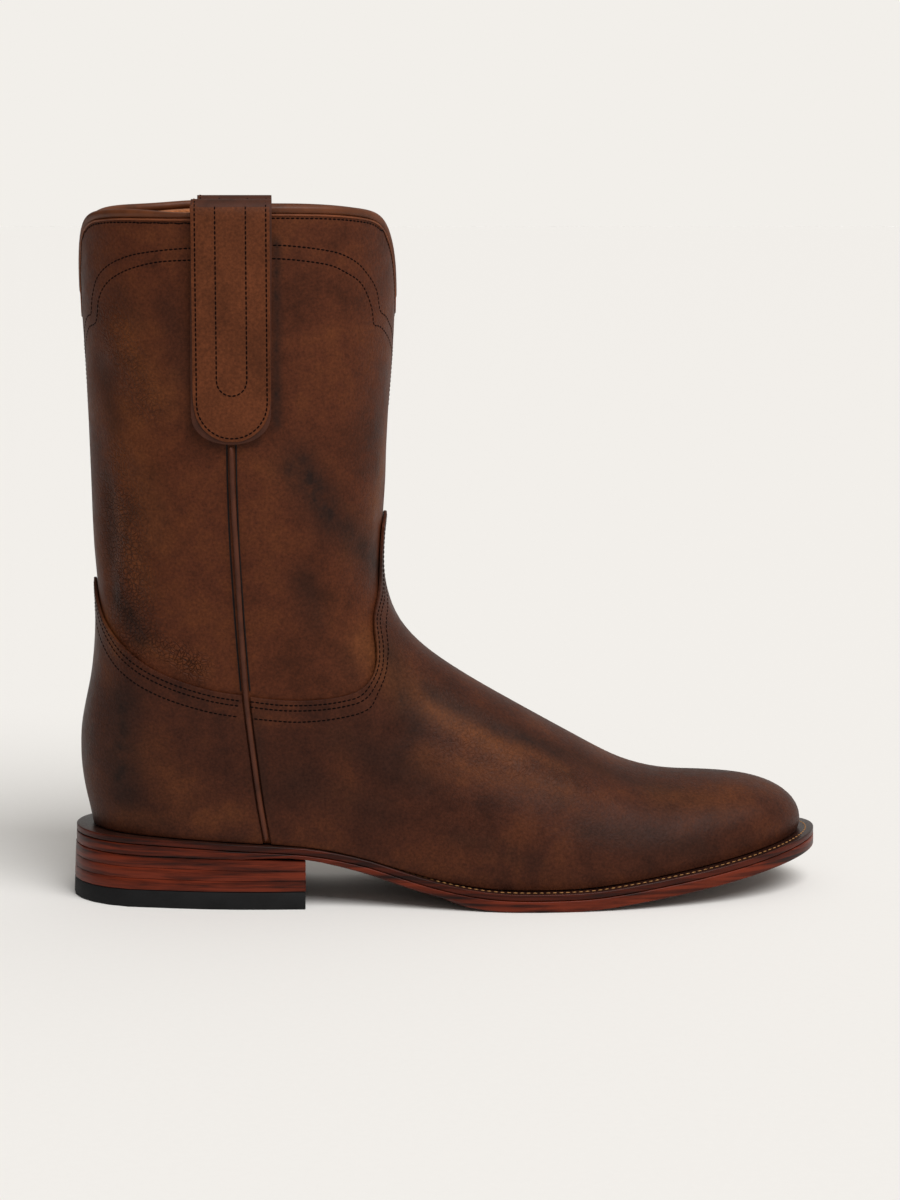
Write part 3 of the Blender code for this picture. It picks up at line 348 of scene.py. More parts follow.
# Where the welt's row is looked for: x in mm on both sides, and the toe's middle between them
WELT_OUTER = range(58, 200, 6)
WELT_INNER = range(196, 57, -6)
TOE_MIDDLE = Vector((200.0, 10.0, 0.0)) * MM
WELT_SEARCH = 80 * MM
WELT_SEARCH_STEP = 0.25 * MM

# Side of the paper floor in metres
FLOOR_SIZE = 60.0

# Strength of the surroundings on the left and right, and of the key light
AMBIENT_LEFT = 0.05
AMBIENT_RIGHT = 0.74
KEY_STRENGTH = 2.6
KEY_SOFTNESS = 40.0
KEY_FROM = Vector((0.30, -0.60, 0.85))

# The camera's place in mm, its tilt down and turn to the left in degrees, and its lens in mm
CAMERA_PLACE = (35.34, -1224.0, 280.4)
CAMERA_DOWN = 7.486
CAMERA_TURN = -3.3
CAMERA_LENS = 91.62
SENSOR_HEIGHT = 36.0


def linear(hex_colour):
    """A colour written as sRGB hex, turned to the linear values that shaders take."""
    parts = [int(hex_colour[place:place + 2], 16) / 255 for place in (1, 3, 5)]
    return [part / 12.92 if part <= 0.04045 else ((part + 0.055) / 1.055) ** 2.4 for part in parts]


def colour(name, description, hex_colour):
    return FloatVectorProperty(
        name=name, description=description, subtype="COLOR", size=3, min=0.0, max=1.0,
        default=linear(hex_colour),
    )


def length(name, description, millimetres):
    return FloatProperty(
        name=name, description=description, unit="LENGTH", min=0.0, default=millimetres * MM,
    )


class BootSizes(PropertyGroup):
    stitch_pitch: length("Stitch pitch", "From one stitch to the next", 1.9)
    stitch_length: length("Stitch length", "Visible length of a stitch", 1.75)
    thread_width: length("Thread width", "Width of the sewing thread", 0.82)
    sole_stitch_pitch: length("Welt stitch pitch", "From one welt stitch to the next", 2.6)
    edge_round: length("Cut edge rounding", "Rounding of the vamp's and counter's cut edges", 0.3)
    sole_round: length("Sole edge rounding", "Rounding of the trimmed sole and heel edges", 0.5)
    lip_radius: length("Lip radius", "Radius of the folded lip under the binding", 0.38)
    strap_layer: length("Strap layer", "How far the strap's top layer stands proud", 0.45)
    strap_margin: length("Strap margin", "Bare backing round the strap's top layer", 0.9)


class BootColours(PropertyGroup):
    shaft_dark: colour("Shaft dark", "Oiled leather in the shaft's dark places", "#2b140a")
    shaft_middle: colour("Shaft middle", "Oiled leather of the shaft", "#4a2515")
    shaft_light: colour("Shaft light", "Oiled leather where it has been rubbed", "#5a3019")
    foot_dark: colour("Foot dark", "Oiled leather in the foot's dark places", "#25120c")
    foot_middle: colour("Foot middle", "Oiled leather of vamp and counter", "#3f2014")
    foot_light: colour("Foot light", "Oiled leather of the foot where it is pulled", "#532c18")
    strap_tone: colour("Strap", "Oiled leather of the pull straps", "#542c18")
    # The pull-up tone paints patches where the wax is thin and also painted highlights on the shin's front
    # edge, the upper back, the instep, the toe and the counter
    pull_up_and_highlight: colour("Pull-up", "Orange tone where the wax is thin", "#663a1e")
    # The charcoal tone paints oil smudges and also painted shade in the folds, on the heel's back and
    # beside the strap
    charcoal: colour("Charcoal", "Dark smudges of oil and dye", "#241611")
    # The thread tone also paints the seam channels beside the piping, as painted shade
    thread: colour("Thread", "Waxed sewing thread", "#0c0504")
    lining: colour("Lining", "Lining leather", "#a8683f")
    lip: colour("Lip", "Folded edge under the binding", "#6d3b21")
    stack_red: colour("Heel stack", "Stained leather lifts", "#642513")
    stack_dark: colour("Heel stack streaks", "Dark streaks along the lifts", "#1a0b08")
    rubber: colour("Rubber", "Heel cap's rubber", "#111112")
    welt_top: colour("Welt top", "Burnished top of the welt", "#2c1711")
    welt_thread: colour("Welt thread", "Thread of the welt's stitches", "#a87a4c")
    # The underside's dark tone is painted shade on the sole's downward faces
    sole_under: colour("Sole underside", "Bare sole leather, burnished dark", "#46291b")
    floor: colour("Floor", "Paper of the studio floor", "#edebe8")
    backdrop: colour("Backdrop", "Paper seen behind the boot", "#f2efea")


# Working in Blender
def only(piece):
    """Select one piece alone and make it active."""
    bpy.ops.object.select_all(action="DESELECT")
    piece.select_set(True)
    bpy.context.view_layer.objects.active = piece


def copy_of_node(node, name):
    """A mended copy of a CAD node's mesh: corners merged and triangles paired into quads."""
    only(NODES[node])
    bpy.ops.object.duplicate()
    piece = bpy.context.active_object
    for key in list(piece.keys()):
        del piece[key]
    piece.parent = None
    piece.matrix_world = Matrix.Identity(4)
    piece.name = name
    piece.data.name = name
    open_mesh(piece)
    bpy.ops.mesh.remove_doubles(threshold=MERGE_GAP)
    bpy.ops.mesh.customdata_custom_splitnormals_clear()
    bpy.ops.mesh.tris_convert_to_quads(
        face_threshold=math.radians(60), shape_threshold=math.radians(80),
    )
    bpy.ops.mesh.mark_sharp(clear=True)
    close_mesh()
    return piece


def open_mesh(piece, kind="FACE", action="SELECT"):
    """Go into edit mode on one piece, with all of its mesh or none of it selected."""
    only(piece)
    bpy.ops.object.mode_set(mode="EDIT")
    bpy.ops.mesh.select_mode(type=kind)
    bpy.ops.mesh.select_all(action=action)


def close_mesh():
    """Leave edit mode with nothing selected."""
    bpy.ops.mesh.select_all(action="DESELECT")
    bpy.ops.mesh.select_mode(type="FACE")
    bpy.ops.object.mode_set(mode="OBJECT")


def apply_modifier(piece, kind, **settings):
    only(piece)
    modifier = piece.modifiers.new(kind.title(), kind)
    for name, value in settings.items():
        setattr(modifier, name, value)
    bpy.ops.object.modifier_apply(modifier=modifier.name)


def round_edges(piece, width, segments=2):
    apply_modifier(
        piece, "BEVEL", width=width, segments=segments, limit_method="ANGLE",
        angle_limit=math.radians(BEVEL_ANGLE), loop_slide=False,
    )


def subdivide_smooth(piece, levels):
    apply_modifier(
        piece, "SUBSURF", levels=levels, render_levels=levels, boundary_smooth="PRESERVE_CORNERS",
    )


def finish_piece(piece, slot, materials, *replaced):
    """Give a piece its materials and shading, hang it on the root body and hide the CAD parts that it
    replaces.
    """
    only(piece)
    bpy.ops.object.shade_smooth_by_angle(angle=math.radians(SMOOTH_ANGLE))
    faces = [face.material_index for face in piece.data.polygons]
    piece.data.materials.clear()
    for look in materials:
        piece.data.materials.append(look)
    piece.data.polygons.foreach_set("material_index", faces)
    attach(piece, "root")
    if replaced:
        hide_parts(*replaced)


def paint_faces(piece, index, wanted):
    """Give one material slot to the faces for which wanted(face) holds."""
    while len(piece.data.materials) <= index:
        piece.data.materials.append(None)
    for face in piece.data.polygons:
        if wanted(face):
            face.material_index = index


def surface_of(piece, wanted=lambda face: True):
    """A search tree of a piece's faces for which wanted(face) holds, for laying lines on them."""
    points = [vertex.co.copy() for vertex in piece.data.vertices]
    faces = [list(face.vertices) for face in piece.data.polygons if wanted(face)]
    return BVHTree.FromPolygons(points, faces)


def drop(surface, view, across, height, side):
    """The first point of a surface seen from a view, at a place in mm."""
    if view == "side":
        view = "inner" if side > 0 else "outer"
        start = Vector((across, 0.0, height)) * MM
    else:
        start = Vector((0.0, side * across, height)) * MM
    away = VIEWS[view]
    point, _, _, _ = surface.ray_cast(start + away * RAY_START, -away)
    if point is None:
        point, _, _, _ = surface.find_nearest(start + away * MISS_SEARCH)
    return point


def smooth_line(points, gap):
    """Points at an even gap on a rounded line through the given ones."""
    ends = [points[0] * 2 - points[1]] + list(points) + [points[-1] * 2 - points[-2]]
    dense = []
    for place in range(1, len(ends) - 2):
        before, start, end, after = ends[place - 1:place + 3]
        count = max(int((end - start).length / LINE_STEP), 2)
        for step in range(count):
            share = step / count
            dense.append(0.5 * (
                2 * start + (end - before) * share
                + (2 * before - 5 * start + 4 * end - after) * share ** 2
                + (3 * start - before - 3 * end + after) * share ** 3
            ))
    dense.append(points[-1].copy())
    return even_line(dense, gap)


def even_line(dense, gap):
    travel = [0.0]
    for before, after in zip(dense, dense[1:]):
        travel.append(travel[-1] + (after - before).length)
    count = max(round(travel[-1] / gap), 1)
    wanted = np.linspace(0.0, travel[-1], count + 1)
    columns = [np.interp(wanted, travel, [point[axis] for point in dense]) for axis in range(3)]
    return [Vector(point) for point in zip(*columns)]


def laid_line(surface, points, gap):
    """An even line laid on a surface, with the surface's direction at each point."""
    laid = []
    for point in smooth_line(points, gap):
        place, normal, _, _ = surface.find_nearest(point)
        laid.append((place, normal))
    return laid


def row_line(surface, rows, side):
    return [
        drop(surface, view, across, height, side) for view, places in rows for across, height in places
    ]


def both_sides(surface, rows, closed=False):
    """A line from rows on the outer side, through the leg's middle, to the inner side."""
    outer = row_line(surface, rows, -1)
    inner = row_line(surface, rows, 1)
    if closed:
        return outer + inner[-2::-1]
    return outer[::-1] + inner[1:]


def shifted_line(surface, points, distance):
    """A line moved sideways on a surface, towards lower ground for a positive distance."""
    laid = laid_line(surface, points, SHIFT_STEP)
    places = [place for place, _ in laid]
    moved = []
    for index, (place, normal) in enumerate(laid):
        before = places[max(index - 2, 0)]
        after = places[min(index + 2, len(places) - 1)]
        moved.append(normal.cross(after - before).normalized())
    down = 1.0 if sum(way.z for way in moved) < 0.0 else -1.0
    return [place + way * down * distance for (place, _), way in zip(laid, moved)]


# Leather form
def coordinates(piece):
    count = len(piece.data.vertices)
    flat = np.empty(count * 3)
    piece.data.vertices.foreach_get("co", flat)
    return flat.reshape(-1, 3)


def closeness(points, start, end, width):
    """How close each point is to a line: 1 on it, fading softly over the width."""
    way = np.array(end - start)
    share = np.clip((points - np.array(start)) @ way / max(way @ way, 1e-12), 0.0, 1.0)
    gap = np.linalg.norm(points - (np.array(start) + share[:, None] * way), axis=1)
    return np.exp(-((gap / width) ** 2))


def marks_on(surface, rows):
    """Each row's line on the boot, once for each side that it names."""
    for name, side, x1, z1, x2, z2, width, amount in rows:
        for way in SIDES[side]:
            start = drop(surface, "side", x1, z1, way)
            end = drop(surface, "side", x2, z2, way)
            yield start, end, width * MM, amount


def press_folds(piece, surface):
    """Move a piece's points in and out by the table of folds."""
    points = coordinates(piece)
    depth = np.zeros(len(points))
    for start, end, width, amount in marks_on(surface, FOLDS):
        depth += closeness(points, start, end, width) * amount * MM
    for vertex, amount in zip(piece.data.vertices, depth):
        if abs(amount) > LEAST_MOVE:
            _, normal, _, _ = surface.find_nearest(vertex.co)
            vertex.co -= normal * amount
    piece.data.update()


def stain(piece, surface):
    """Store how much smudge and painted shade, pull-up and painted highlight, and wrinkling each point of
    a piece carries.
    """
    points = coordinates(piece)
    for name, rows in (("smudge_and_shade", SMUDGES_AND_SHADE), ("pull_up_and_highlight", PULL_UP_AND_HIGHLIGHTS), ("wrinkle", WRINKLES)):
        amount = np.zeros(len(points))
        for start, end, width, strength in marks_on(surface, rows):
            amount = np.maximum(amount, closeness(points, start, end, width) * strength)
        attribute = piece.data.attributes.new(name, "FLOAT", "POINT")
        attribute.data.foreach_set("value", amount)


# Materials
def add(tree, kind, links=None, values=None, stops=(), out=0, **settings):
    """Add a node with its settings, fixed values, links and colour stops, and give one output."""
    node = tree.nodes.new(f"ShaderNode{kind}")
    for name, value in settings.items():
        setattr(node, name, value)
    for name, value in (values or {}).items():
        node.inputs[name].default_value = value
    for name, socket in (links or {}).items():
        tree.links.new(socket, node.inputs[name])
    if stops:
        ramp = node.color_ramp
        while len(ramp.elements) < len(stops):
            ramp.elements.new(0.5)
        for element, (place, tone) in zip(ramp.elements, stops):
            element.position = place
            element.color = (*tone, 1.0)
    return node.outputs[out]


def new_material(name, values):
    """A material with values on its shader's sockets, its node tree and its Object coordinates."""
    look = bpy.data.materials.new(name)
    look.use_nodes = True
    tree = look.node_tree
    for key, value in values.items():
        tree.nodes["Principled BSDF"].inputs[key].default_value = value
    return look, tree, add(tree, "TexCoord", out="Object")


def joined(look, links):
    """A material whose shader takes the given outputs."""
    tree = look.node_tree
    for name, socket in links.items():
        tree.links.new(socket, tree.nodes["Principled BSDF"].inputs[name])
    return look


def shaded(tone, share):
    """A tone made darker or lighter."""
    return [share * part for part in tone]


def oiled_leather(name, dark, middle, light, roughness=0.5, cloud_size=34.0, stained=True):
    """Oiled pull-up leather: waxy and half matt, cloudy brown, with a fine pebbled grain."""
    tones = bpy.context.scene.boot_colours
    look, tree, place = new_material(name, {"IOR": 1.47, "Specular IOR Level": 0.09})
    # Size in mm, detail, roughness and distortion of each pattern, from the broadest to the finest
    clouds, mottle, creases, nap = [
        add(
            tree, "TexNoise", {"Vector": place},
            {"Scale": 1 / (size * MM), "Detail": detail, "Roughness": rough, "Distortion": warp},
        )
        for size, detail, rough, warp in (
            (cloud_size, 4.0, 0.55, 0.5),
            (6.0, 5.0, 0.62, 0.0),
            (3.2, 6.0, 0.7, 1.6),
            (1.1, 3.0, 0.6, 0.0),
        )
    ]
    blend = add(tree, "Math", {0: mottle, 2: clouds}, {1: 0.42}, operation="MULTIPLY_ADD")
    base = add(tree, "ValToRGB", {"Fac": blend}, stops=((0.40, dark), (0.71, middle), (1.0, light)))
    if stained:
        # Mix in the lighter tone for pull-up patches and painted highlights, and the charcoal tone for oil
        # smudges and painted shade
        for attribute, tone, spread in (("pull_up_and_highlight", tones.pull_up_and_highlight, 0.9), ("smudge_and_shade", tones.charcoal, 1.15)):
            amount = add(tree, "Attribute", out="Fac", attribute_name=attribute)
            patchy = add(
                tree, "MapRange", {"Value": mottle},
                {"From Min": 0.3, "From Max": 0.68, "To Min": 0.45, "To Max": spread},
            )
            share = add(tree, "Math", {0: amount, 1: patchy}, operation="MULTIPLY", use_clamp=True)
            base = add(tree, "Mix", {0: share, 6: base}, {7: (*tone, 1.0)}, out=2, data_type="RGBA")
    speck = add(
        tree, "MapRange", {"Value": nap},
        {"From Min": 0.3, "From Max": 0.7, "To Min": 0.72, "To Max": 1.27},
    )
    base = add(
        tree, "Mix", {6: base, 7: speck}, {0: 1.0}, out=2, data_type="RGBA", blend_type="MULTIPLY",
    )
    gloss = add(
        tree, "MapRange", {"Value": mottle},
        {"From Min": 0.3, "From Max": 0.7, "To Min": roughness - 0.06, "To Max": roughness + 0.08},
    )
    # Pebbles of the grain, 0.9 mm across, and pores drawn twice as coarse as real ones
    pebbles = add(
        tree, "TexVoronoi", {"Vector": place}, {"Scale": 1 / (0.9 * MM)}, feature="SMOOTH_F1",
    )
    broad = add(tree, "Bump", {"Height": creases}, {"Strength": 0.5, "Distance": 0.35 * MM})
    fine = add(
        tree, "Bump", {"Height": pebbles, "Normal": broad}, {"Strength": 0.4, "Distance": 0.14 * MM},
    )
    pores = add(tree, "Bump", {"Height": nap, "Normal": fine}, {"Strength": 0.4, "Distance": 0.10 * MM})
    if not stained:
        return joined(look, {"Base Color": base, "Roughness": gloss, "Normal": pores})
    # Fine wrinkles between puckers about 1.7 mm across, only where the leather has been worked; the tone
    # is darkened in their valleys as painted shade and lightened on the puckers as painted light
    drift = add(
        tree, "TexNoise", {"Vector": place}, {"Scale": 1 / (5.0 * MM), "Detail": 2.0}, out="Color",
    )
    bent = add(tree, "Mix", {4: place, 5: drift}, {0: 0.004}, out=1, data_type="VECTOR")
    cells = add(
        tree, "TexVoronoi", {"Vector": bent}, {"Scale": 1 / (1.7 * MM)}, feature="DISTANCE_TO_EDGE",
    )
    edge = add(tree, "MapRange", {"Value": cells}, {"From Max": 0.16})
    worked = add(tree, "Attribute", out="Fac", attribute_name="wrinkle")
    height = add(tree, "Math", {0: edge, 1: worked}, operation="MULTIPLY")
    wrinkled = add(
        tree, "Bump", {"Height": height, "Normal": pores}, {"Strength": 0.9, "Distance": 0.5 * MM},
    )
    # Painted shade in the wrinkles' valleys and painted light on their puckers
    wrinkle_shade_and_light = add(tree, "MapRange", {"Value": edge}, {"To Min": 0.5, "To Max": 1.12})
    base = add(
        tree, "Mix", {0: worked, 6: base, 7: wrinkle_shade_and_light}, out=2, data_type="RGBA", blend_type="MULTIPLY",
    )
    return joined(look, {"Base Color": base, "Roughness": gloss, "Normal": wrinkled})


def stained_leather_edge(name, red, dark):
    """Stacked sole leather, stained red brown, streaked along its layers and waxed."""
    look, tree, place = new_material(
        name, {"Roughness": 0.38, "Specular IOR Level": 0.12, "Coat Weight": 0.04, "Coat Roughness": 0.22},
    )
    # Streaks about 40 mm long and 2.4 mm high
    stretched = add(tree, "Mapping", {"Vector": place}, {"Scale": (26.0, 26.0, 420.0)})
    streaks = add(
        tree, "TexNoise", {"Vector": stretched},
        {"Scale": 1.0, "Detail": 4.0, "Roughness": 0.6, "Distortion": 0.35},
    )
    tone = add(
        tree, "ValToRGB", {"Fac": streaks}, stops=((0.35, dark), (0.47, shaded(red, 0.5)), (0.60, red)),
    )
    bump = add(tree, "Bump", {"Height": streaks}, {"Strength": 0.3, "Distance": 0.15 * MM})
    return joined(look, {"Base Color": tone, "Normal": bump})


def plain_leather(name, tone, roughness, grain_size, strength, coat=0.0):
    """Plain dyed or bare leather: a tone that wanders a little over an even grain."""
    look, tree, place = new_material(
        name, {"Specular IOR Level": 0.2, "Coat Weight": coat, "Coat Roughness": 0.25},
    )
    wander = add(
        tree, "TexNoise", {"Vector": place}, {"Scale": 1 / (9.0 * MM), "Detail": 4.0, "Roughness": 0.6},
    )
    grain = add(
        tree, "TexNoise", {"Vector": place},
        {"Scale": 1 / (grain_size * MM), "Detail": 4.0, "Roughness": 0.6},
    )
    base = add(
        tree, "ValToRGB", {"Fac": wander},
        stops=((0.32, shaded(tone, 0.66)), (0.52, tone), (0.74, shaded(tone, 1.22))),
    )
    gloss = add(
        tree, "MapRange", {"Value": grain},
        {"From Min": 0.3, "From Max": 0.7, "To Min": roughness - 0.06, "To Max": roughness + 0.08},
    )
    bump = add(tree, "Bump", {"Height": grain}, {"Strength": strength, "Distance": 0.12 * MM})
    return joined(look, {"Base Color": base, "Roughness": gloss, "Normal": bump})


def moulded_rubber(name, tone):
    """Moulded rubber: near black, matt, with a faint speckle of dust and mould texture."""
    return plain_leather(name, tone, 0.68, 0.5, 0.5)


def waxed_thread(name, tone):
    """Twisted waxed thread: dark, a little shiny, with its twist drawn coarse."""
    look, tree, place = new_material(name, {"Roughness": 0.75, "Specular IOR Level": 0.04})
    twist = add(tree, "TexNoise", {"Vector": place}, {"Scale": 1 / (0.3 * MM), "Detail": 2.0})
    base = add(
        tree, "ValToRGB", {"Fac": twist}, stops=((0.35, shaded(tone, 0.6)), (0.65, shaded(tone, 1.25))),
    )
    bump = add(tree, "Bump", {"Height": twist}, {"Strength": 0.4, "Distance": 0.05 * MM})
    return joined(look, {"Base Color": base, "Normal": bump})


def studio_paper(name, tone):
    """Seamless background paper: matt, pale, with barely seen fibres."""
    look, tree, place = new_material(name, {"Roughness": 0.95, "Specular IOR Level": 0.1})
    fibres = add(tree, "TexNoise", {"Vector": place}, {"Scale": 1 / (3.0 * MM), "Detail": 3.0})
    base = add(tree, "ValToRGB", {"Fac": fibres}, stops=((0.3, shaded(tone, 0.99)), (0.7, tone)))
    return joined(look, {"Base Color": base})


# Materials and shared forms, by name, for the operators
LOOKS = {}
PIECES = {}


def make_looks():
    tones = bpy.context.scene.boot_colours
    LOOKS["shaft"] = oiled_leather(
        "oiled_shaft_leather", tones.shaft_dark, tones.shaft_middle, tones.shaft_light,
    )
    LOOKS["foot"] = oiled_leather(
        "oiled_foot_leather", tones.foot_dark, tones.foot_middle, tones.foot_light, roughness=0.44,
    )
    strap = tones.strap_tone
    LOOKS["strap"] = oiled_leather(
        "oiled_strap_leather", shaded(strap, 0.72), strap, shaded(strap, 1.3), cloud_size=22.0,
        stained=False,
    )
    for key, name, tone, roughness, grain_size, strength in (
        # The backing is the shaft's tone darkened: partly its own darker edge, partly painted shade round
        # the strap
        ("backing", "strap_backing_leather", shaded(tones.shaft_middle, 0.75), 0.6, 0.6, 0.5),
        ("binding", "rolled_binding_leather", tones.shaft_light, 0.45, 0.7, 0.35),
        ("piping", "rolled_piping_leather", tones.shaft_middle, 0.42, 0.7, 0.35),
        # The seam channel's thread-dark tone is painted shade in the grooves beside the piping
        ("channel", "seam_groove_painted_shade", tones.thread, 0.6, 0.7, 0.3),
        ("lip", "folded_lip_leather", tones.lip, 0.45, 0.7, 0.3),
        ("lining", "glazed_lining_leather", tones.lining, 0.42, 1.4, 0.5),
        ("insole", "insole_leather", shaded(tones.lining, 0.7), 0.6, 1.0, 0.4),
        # The underside's dark tone is painted shade on the sole's downward faces
        ("under", "sole_underside_painted_shade", tones.sole_under, 0.62, 0.8, 0.5),
    ):
        LOOKS[key] = plain_leather(name, tone, roughness, grain_size, strength)
    red, dark = tones.stack_red, tones.stack_dark
    LOOKS["stack"] = stained_leather_edge("stained_heel_stack", red, dark)
    LOOKS["welt edge"] = stained_leather_edge("stained_welt_edge", shaded(red, 0.5), dark)
    LOOKS["welt top"] = plain_leather("burnished_welt_leather", tones.welt_top, 0.34, 0.9, 0.4, coat=0.2)
    LOOKS["rubber"] = moulded_rubber("moulded_heel_rubber", tones.rubber)
    LOOKS["thread"] = waxed_thread("waxed_thread", tones.thread)
    LOOKS["lining thread"] = waxed_thread("pale_lining_thread", shaded(tones.lining, 1.3))
    LOOKS["welt thread"] = waxed_thread("welt_thread", tones.welt_thread)


class BOOT_OT_shaft(Operator):
    """Build the leather shaft and its lining over the upper"""
    bl_idname = "boot.shaft"
    bl_label = "Shaft and lining"

    def execute(self, context):
        make_looks()
        shaft = copy_of_node("upper", "leather_shaft")
        PIECES["rim"] = [raised(place) for place in wall_rim(shaft)]
        mark_inside(shaft)
        refine_shaft(shaft)
        round_edges(shaft, context.scene.boot_sizes.edge_round, segments=1)
        subdivide_smooth(shaft, 2)
        lift_rim(shaft)
        PIECES["wall"] = wall_side(shaft)
        press_folds(shaft, PIECES["wall"])
        stain(shaft, PIECES["wall"])
        PIECES["skin"] = wall_side(shaft)
        PIECES["inside"] = wall_side(shaft, 1)
        finish_piece(shaft, "upper", [LOOKS["shaft"], LOOKS["lining"]], "upper")
        return {"FINISHED"}


def raised(place):
    """A place near the rim, moved up or down by the table of the rim's moves."""
    lift = 0.0
    for name, side, x, width, move, foot, top in RIM_MOVES:
        share = min(max((place.z / MM - foot) / (top - foot), 0.0), 1.0)
        if share > 0.0 and (side == "inner") == (place.y > 0.0):
            soft = share * share * (3.0 - 2.0 * share)
            lift += soft * move * MM * math.exp(-(((place.x / MM - x) / width) ** 2))
    return place + Vector((0.0, 0.0, lift))


def lift_rim(piece):
    """Give a piece the rim's uneven height, higher on the inner side behind the strap."""
    for vertex in piece.data.vertices:
        vertex.co = raised(vertex.co)
    piece.data.update()


def mark_inside(shaft):
    """Give the second material slot to the wall's inner faces, found from the rim down."""
    open_mesh(shaft, "EDGE", "DESELECT")
    bpy.ops.mesh.edges_select_sharp(sharpness=math.radians(WALL_ANGLE))
    bpy.ops.mesh.mark_sharp()
    close_mesh()
    seed = min(
        (face for face in shaft.data.polygons if face.normal.dot(LEG_MIDDLE - face.center) > 0.0),
        key=lambda face: (face.center - LINING_PLACE).length,
    )
    seed.select = True
    bpy.ops.object.mode_set(mode="EDIT")
    bpy.ops.mesh.select_linked(delimit={"SHARP"})
    bpy.ops.object.mode_set(mode="OBJECT")
    paint_faces(shaft, 1, lambda face: face.select)
    open_mesh(shaft)
    bpy.ops.mesh.mark_sharp(clear=True)
    close_mesh()


def refine_shaft(shaft):
    """Cut the shaft's long upright edges in three, so that folds have points to move."""
    open_mesh(shaft, "EDGE", "DESELECT")
    bpy.ops.object.mode_set(mode="OBJECT")
    points = shaft.data.vertices
    for edge in shaft.data.edges:
        way = points[edge.vertices[1]].co - points[edge.vertices[0]].co
        edge.select = way.length > LONGEST_EDGE and abs(way.z) > UPRIGHT_SHARE * way.length
    bpy.ops.object.mode_set(mode="EDIT")
    bpy.ops.mesh.subdivide(number_cuts=2)
    close_mesh()


def wall_side(shaft, slot=0):
    """A search tree of the shaft's faces in one material slot: 0 outer, 1 lining."""
    return surface_of(shaft, lambda face: face.material_index == slot)


def face_side(panel, wall):
    """A search tree of the panel's faces that look away from the wall."""
    return surface_of(
        panel, lambda face: face.normal.dot(wall.find_nearest(face.center)[1]) > PANEL_OUT_TILT,
    )


class BOOT_OT_foot(Operator):
    """Build the vamp with its tongue and the heel counter"""
    bl_idname = "boot.foot"
    bl_label = "Vamp and counter"

    def execute(self, context):
        for node in ("vamp", "counter"):
            panel = copy_of_node(node, f"leather_{node}")
            round_edges(panel, context.scene.boot_sizes.edge_round)
            subdivide_smooth(panel, 2)
            press_folds(panel, PIECES["wall"])
            stain(panel, PIECES["wall"])
            finish_piece(panel, node, [LOOKS["foot"]], node)
            PIECES[node] = face_side(panel, PIECES["wall"])
        return {"FINISHED"}


class BOOT_OT_collar(Operator):
    """Build the collar's rolled binding and the folded lip below it"""
    bl_idname = "boot.collar"
    bl_label = "Collar binding"

    def execute(self, context):
        binding = copy_of_node("collar_binding", "leather_binding")
        subdivide_smooth(binding, 2)
        apply_modifier(binding, "DISPLACE", strength=BINDING_SWELL, mid_level=0.0)
        binding.data.transform(Matrix.Translation((0.0, 0.0, -BINDING_DROP)))
        lift_rim(binding)
        finish_piece(binding, "collar_binding", [LOOKS["binding"]], "collar_binding")
        loop = raised_loop(PIECES["skin"], PIECES["rim"], LIP_BELOW, LIP_RISE)
        lip = bead("folded_lip", loop, context.scene.boot_sizes.lip_radius)
        finish_piece(lip, "collar_binding", [LOOKS["lip"]])
        return {"FINISHED"}


def wall_rim(shaft):
    """The wall's outer top edge as one closed line: where its top faces meet its outer ones."""
    points = shaft.data.vertices
    top_edges = set()
    outer_edges = set()
    for face in shaft.data.polygons:
        if face.center.z < RIM_ABOVE:
            continue
        if face.normal.z > RIM_TOP_TILT:
            top_edges.update(face.edge_keys)
        elif face.normal.xy.dot(face.center.xy - LEG_MIDDLE.xy) > 0.0:
            outer_edges.update(face.edge_keys)
    corners = {corner for pair in top_edges & outer_edges for corner in pair}
    places = [points[corner].co.copy() for corner in corners]
    return sorted(places, key=lambda place: math.atan2(place.y, place.x - LEG_MIDDLE.x))


def shifted_closed(surface, loop, distance):
    """A closed loop moved down a surface."""
    moved = shifted_line(surface, loop[-3:] + loop + loop[:3], distance)
    third = len(moved) // 3
    start = min(range(third), key=lambda index: (moved[index] - loop[0]).length)
    late = range(2 * len(moved) // 3, len(moved))
    end = min(late, key=lambda index: (moved[index] - moved[start]).length)
    return moved[start:end]


def raised_loop(surface, loop, distance, rise):
    """A closed loop moved down a surface and lifted a little off it."""
    lifted = []
    for point in shifted_closed(surface, loop, distance):
        place, normal, _, _ = surface.find_nearest(point)
        lifted.append(place + normal * rise)
    return lifted


def bead(name, line, radius, cyclic=True):
    """A round bead along a line of points, as a mesh."""
    bpy.ops.object.select_all(action="DESELECT")
    bpy.ops.curve.primitive_nurbs_path_add(location=(0.0, 0.0, 0.0))
    cord = bpy.context.active_object
    cord.name = name
    cord.data.splines.clear()
    spline = cord.data.splines.new("POLY")
    spline.points.add(len(line) - 1)
    for target, point in zip(spline.points, line):
        target.co = (*point, 1.0)
    spline.use_cyclic_u = cyclic
    cord.data.bevel_depth = radius
    cord.data.bevel_resolution = 2
    cord.data.use_fill_caps = not cyclic
    only(cord)
    bpy.ops.object.convert(target="MESH")
    return bpy.context.active_object


class BOOT_OT_piping(Operator):
    """Build the rolled piping down both side seams"""
    bl_idname = "boot.piping"
    bl_label = "Side piping"

    def execute(self, context):
        for side in ("outer", "inner"):
            node = f"side_piping_{side}"
            cord = copy_of_node(node, f"leather_piping_{side}")
            subdivide_smooth(cord, 2)
            press_folds(cord, PIECES["wall"])
            finish_piece(cord, node, [LOOKS["piping"]], node)
            seam_channels(side)
        return {"FINISHED"}


